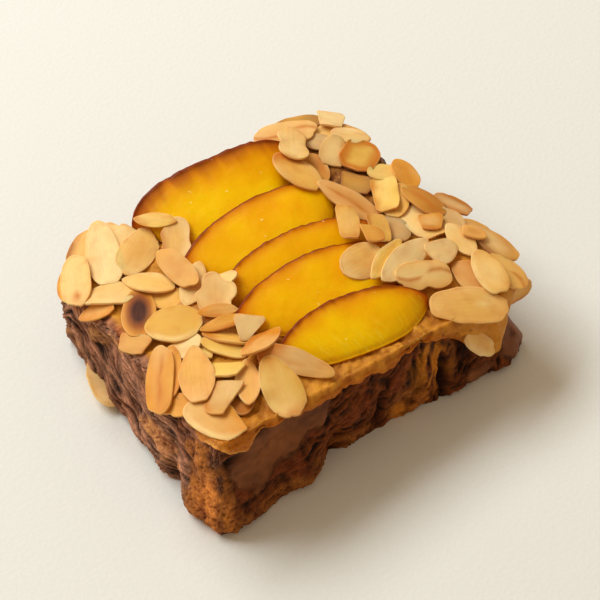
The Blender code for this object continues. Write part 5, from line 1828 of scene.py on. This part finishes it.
# %% Tones and marks
TONES = {
    "pale": colour(248, 207, 138), "cream": colour(251, 213, 150), "yellow": colour(244, 200, 104),
    "gold": colour(238, 184, 96), "honey": colour(232, 184, 86), "olive": colour(216, 168, 76),
    "peachy": colour(245, 193, 116), "pinkish": colour(240, 180, 106), "tan": colour(220, 162, 84),
    "amber": colour(228, 156, 58), "juicy": colour(216, 132, 8), "toasted": colour(204, 134, 54),
    # painted shade: 'dull' and 'shaded' are darker tones for flakes that lie in shade, 'dull' partly their
    # own brown
    "browned": colour(176, 104, 30), "greyish": colour(206, 168, 112), "dull": colour(156, 108, 58),
    "shaded": colour(216, 164, 92),
}
TOAST = colour(200, 114, 24)
DARK_TOAST = colour(150, 72, 24)
SCORCH = colour(56, 16, 12)
RIM_PALE = colour(255, 226, 160)
GLOWING = colour(240, 182, 78)
MARKS = {
    # colour of the mark, its strength, and its share at a point: x and y run from -1 to 1, r from the
    # middle to the rim, and p is a soft patchiness
    "plain": (TOAST, 0.0, lambda x, y, r, p: 0 * x),
    "heart": (TOAST, 0.6, lambda x, y, r, p: fade(x, 0.45) * fade(y, 0.5)),
    "faint": (TOAST, 0.35, lambda x, y, r, p: fade(x, 0.5) * fade(y + 0.3 * p, 0.4)),
    "ring": (TOAST, 0.9, lambda x, y, r, p: step_up(r + 0.15 * p, 0.45, 0.8)),
    "streak": (TOAST, 0.85, lambda x, y, r, p: fade(y + 0.15 * p, 0.2) * fade(x ** 2, 0.75 ** 2)),
    "tips": (TOAST, 0.6, lambda x, y, r, p: step_up(np.abs(x) + 0.2 * p, 0.5, 1.0)),
    "head": (TOAST, 0.85, lambda x, y, r, p: step_up(x + 0.2 * p, 0.1, 0.8)),
    "blot": (TOAST, 0.9, lambda x, y, r, p: fade(x + 0.68, 0.2) * fade(y, 0.32)),
    "edge": (TOAST, 0.7, lambda x, y, r, p: step_up(y + 0.25 * p, 0.3, 0.9)),
    "brown_rim": (DARK_TOAST, 0.75, lambda x, y, r, p: step_up(y + 0.2 * p, 0.45, 0.95)),
    "dark_rim": (DARK_TOAST, 0.9, lambda x, y, r, p: step_up(r, 0.85, 1.0)),
    "fold": (TOAST, 0.75, lambda x, y, r, p: fade(y - 0.3 * np.sin(x * 3), 0.14)),
    # partly painted light: a pale rim along one side, where light comes through the edge
    "rim": (RIM_PALE, 0.5, lambda x, y, r, p: step_up(r + 0.3 * y + 0.1 * p, 0.9, 1.15)),
    "blob": (RIM_PALE, 0.7, lambda x, y, r, p: fade(x + 0.45, 0.16) * fade(y + 0.1, 0.3)),
    "scorched": (DARK_TOAST, 0.9, lambda x, y, r, p: 1 - step_up(np.hypot(x, y / 0.95), 0.62, 1.05)),
}
print("tones of toasted almond:", len(TONES), "and marks:", len(MARKS))

# %% [markdown]
# One flake is never one colour. It is a little lighter or darker than its tone, has patches painted warm
# and pale for the light that shines through it, and then has its mark. A scorched flake is nearly black in
# its middle.

# %% Paint a flake
PATCHES, FADING = (0.7, 95), (2.2, 98)       # lump size and seed
LIGHTNESS_SEED = 96
DARKEST, LIGHTER = 0.92, 0.14
GLOW_SHARE, PALE_SHARE = 0.75, 0.6


def flake_paint(shares, reach, tone, mark, seed):
    """Colour of a flake's points, from their place across it."""
    x, y = shares[..., 0], shares[..., 1]
    spot = np.stack([x * 1.5, y * 1.5, 0 * x + seed * 5.3], axis=-1)
    patch, fading = cloud(spot, *PATCHES), cloud(spot, *FADING)
    lightness = DARKEST + LIGHTER * float(hashed(np.array((seed, 3, 5)), LIGHTNESS_SEED))
    mark_colour, strength, where = MARKS[mark]
    scorch = 1 - step_up(np.hypot(x / 0.6, y / 0.62), 0.45, 1.1)
    return coats(
        np.array(TONES[tone]) * lightness,
        (TOAST, 0.14 * patch + 0.04),
        # painted light: warm and pale patches for the light that shines through the flake
        (GLOWING, GLOW_SHARE * np.maximum(0, fading)),
        (RIM_PALE, PALE_SHARE * np.maximum(0, -fading)),
        (mark_colour, strength * where(x, y, reach, patch)),
        (SCORCH, scorch * (mark == "scorched")))


print("lightest flake:", DARKEST + LIGHTER, "of its tone")

# %% [markdown]
# Now the flakes fall, in the order of their rows. The hanging ones are simply turned and put in their
# places. The result is a list of frames, each with the size and the looks of its flake.

# %% Lay every flake
def hung_frame(x, y, z, heading, tip, fall):
    """Place of a flake that clings to a side."""
    turn = Matrix.Rotation(math.radians(heading), 4, "Z") @ Matrix.Rotation(math.radians(tip), 4, "Y")
    return Matrix.Translation((x, y, z)) @ turn @ Matrix.Rotation(math.radians(fall), 4, "X")


laid = []
for x, y, heading, length, width, *looks in LEFT_HEAP + RIGHT_HEAP:
    laid.append((heap.settle(x, y, heading, length, width), length, width, *looks))
for x, y, z, heading, length, width, tip, fall, *looks in HANGING_FLAKES:
    laid.append((hung_frame(x, y, z, heading, tip, fall), length, width, *looks))
print("flakes laid:", len(laid))

# %% [markdown]
# All flakes share one material and never move apart, so they become one mesh. Eighty objects would only
# fill the outliner. Each flake keeps its own directions for the grain, which its points carry.

# %% Join the flakes
GRAIN_STEP = 20.0        # keeps the grain of two flakes apart

flake_points, flake_faces, flake_colours, flake_grain = [], [], [], []
for number, (frame_of_flake, length, width, form, tone, mark, bow) in enumerate(laid):
    rings, shares, reach = flake_shape(length, width, form, bow, number)
    points, faces = skin_rings(rings, rings[0].mean(0), rings[-1].mean(0))
    start = sum(len(part) for part in flake_points)
    placing = np.array(frame_of_flake)
    flake_points.append(points @ placing[:3, :3].T + placing[:3, 3])
    flake_faces += [[index + start for index in reversed(face)] for face in faces]
    paint = with_fourth(flake_paint(shares, reach, tone, mark, number), reach)
    flake_colours.append(with_ends(paint))
    flake_grain.append(points + (0, 0, GRAIN_STEP * number))
flake_points = np.concatenate(flake_points)
print("flakes lie between", flake_points[:, 2].min().round(1), "and",
      flake_points[:, 2].max().round(1), "mm")

# %% [markdown]
# An almond is matt and a little translucent. Fine fibres run along it, soft blots toast it unevenly, and
# just inside its pale edge runs a browned line. That line wavers with the blots, as a real one does. The
# edge is painted pale, partly the paler cut and partly painted light through the thin edge.

# %% The almonds as a piece
CRISP_ANGLE = math.radians(38)
ALMOND_SUBSURFACE = (1.0, 0.5, 0.15)
FIBRE_STRETCH = (0.16, 1.3, 1.0)
FIBRE_DARK, FIBRE_LIGHT = (0.7, 0.58, 0.4), (1.3, 1.32, 1.34)
BLOT_SIZE = 4.0
LINE_WAVER = 0.3

toasted_almond, tree, shader = plain_material(
    "toasted_almond", 0.5, Specular_IOR_Level=0.16,
    Subsurface_Weight=0.3, Subsurface_Scale=0.0012, Subsurface_Radius=ALMOND_SUBSURFACE)
tone = painted(tree, "almond_paint")
reach = painted(tree, "almond_paint", "Alpha")
grain = painted(tree, "almond_grain", "Vector")
fibres = speckle(tree, place(tree, FIBRE_STRETCH, grain), 1.0, 4, 0.6)
blots = speckle(tree, place(tree, (1, 1, 1), grain), BLOT_SIZE, 2, 0.4)
shade = mix(tree, 0.18, tone, mix(tree, fibres, FIBRE_DARK, FIBRE_LIGHT), "MULTIPLY")
shade = mix(tree, stretch_range(tree, blots, 0.5, 0.8, 0, 0.24), shade, TOAST, "DARKEN")
wavering = tree.nodes.new("ShaderNodeMath")
wavering.operation = "MULTIPLY_ADD"
wavering.inputs[1].default_value = LINE_WAVER
tree.links.new(blots, wavering.inputs[0])
tree.links.new(reach, wavering.inputs[2])
browned_line = stretch_range(tree, wavering.outputs[0], 1.0, 1.14, 0, 0.26)
# the pale rim: partly the paler cut, partly painted light through the thin edge
pale_rim = stretch_range(tree, reach, 0.93, 0.99, 0, 0.42)
shade = mix(tree, browned_line, shade, TOAST, "DARKEN")
shade = mix(tree, pale_rim, shade, mix(tree, 0.6, RIM_PALE, tone))
tree.links.new(shade, shader.inputs["Base Color"])
tree.links.new(emboss(tree, fibres, 0.1), shader.inputs["Normal"])
almonds = make_piece("flaked_almonds", flake_points, flake_faces, toasted_almond, "almond_topping",
                     ["almond_cream"], almond_paint=np.concatenate(flake_colours),
                     almond_grain=np.concatenate(flake_grain))
almonds.data.set_sharp_from_angle(angle=CRISP_ANGLE)
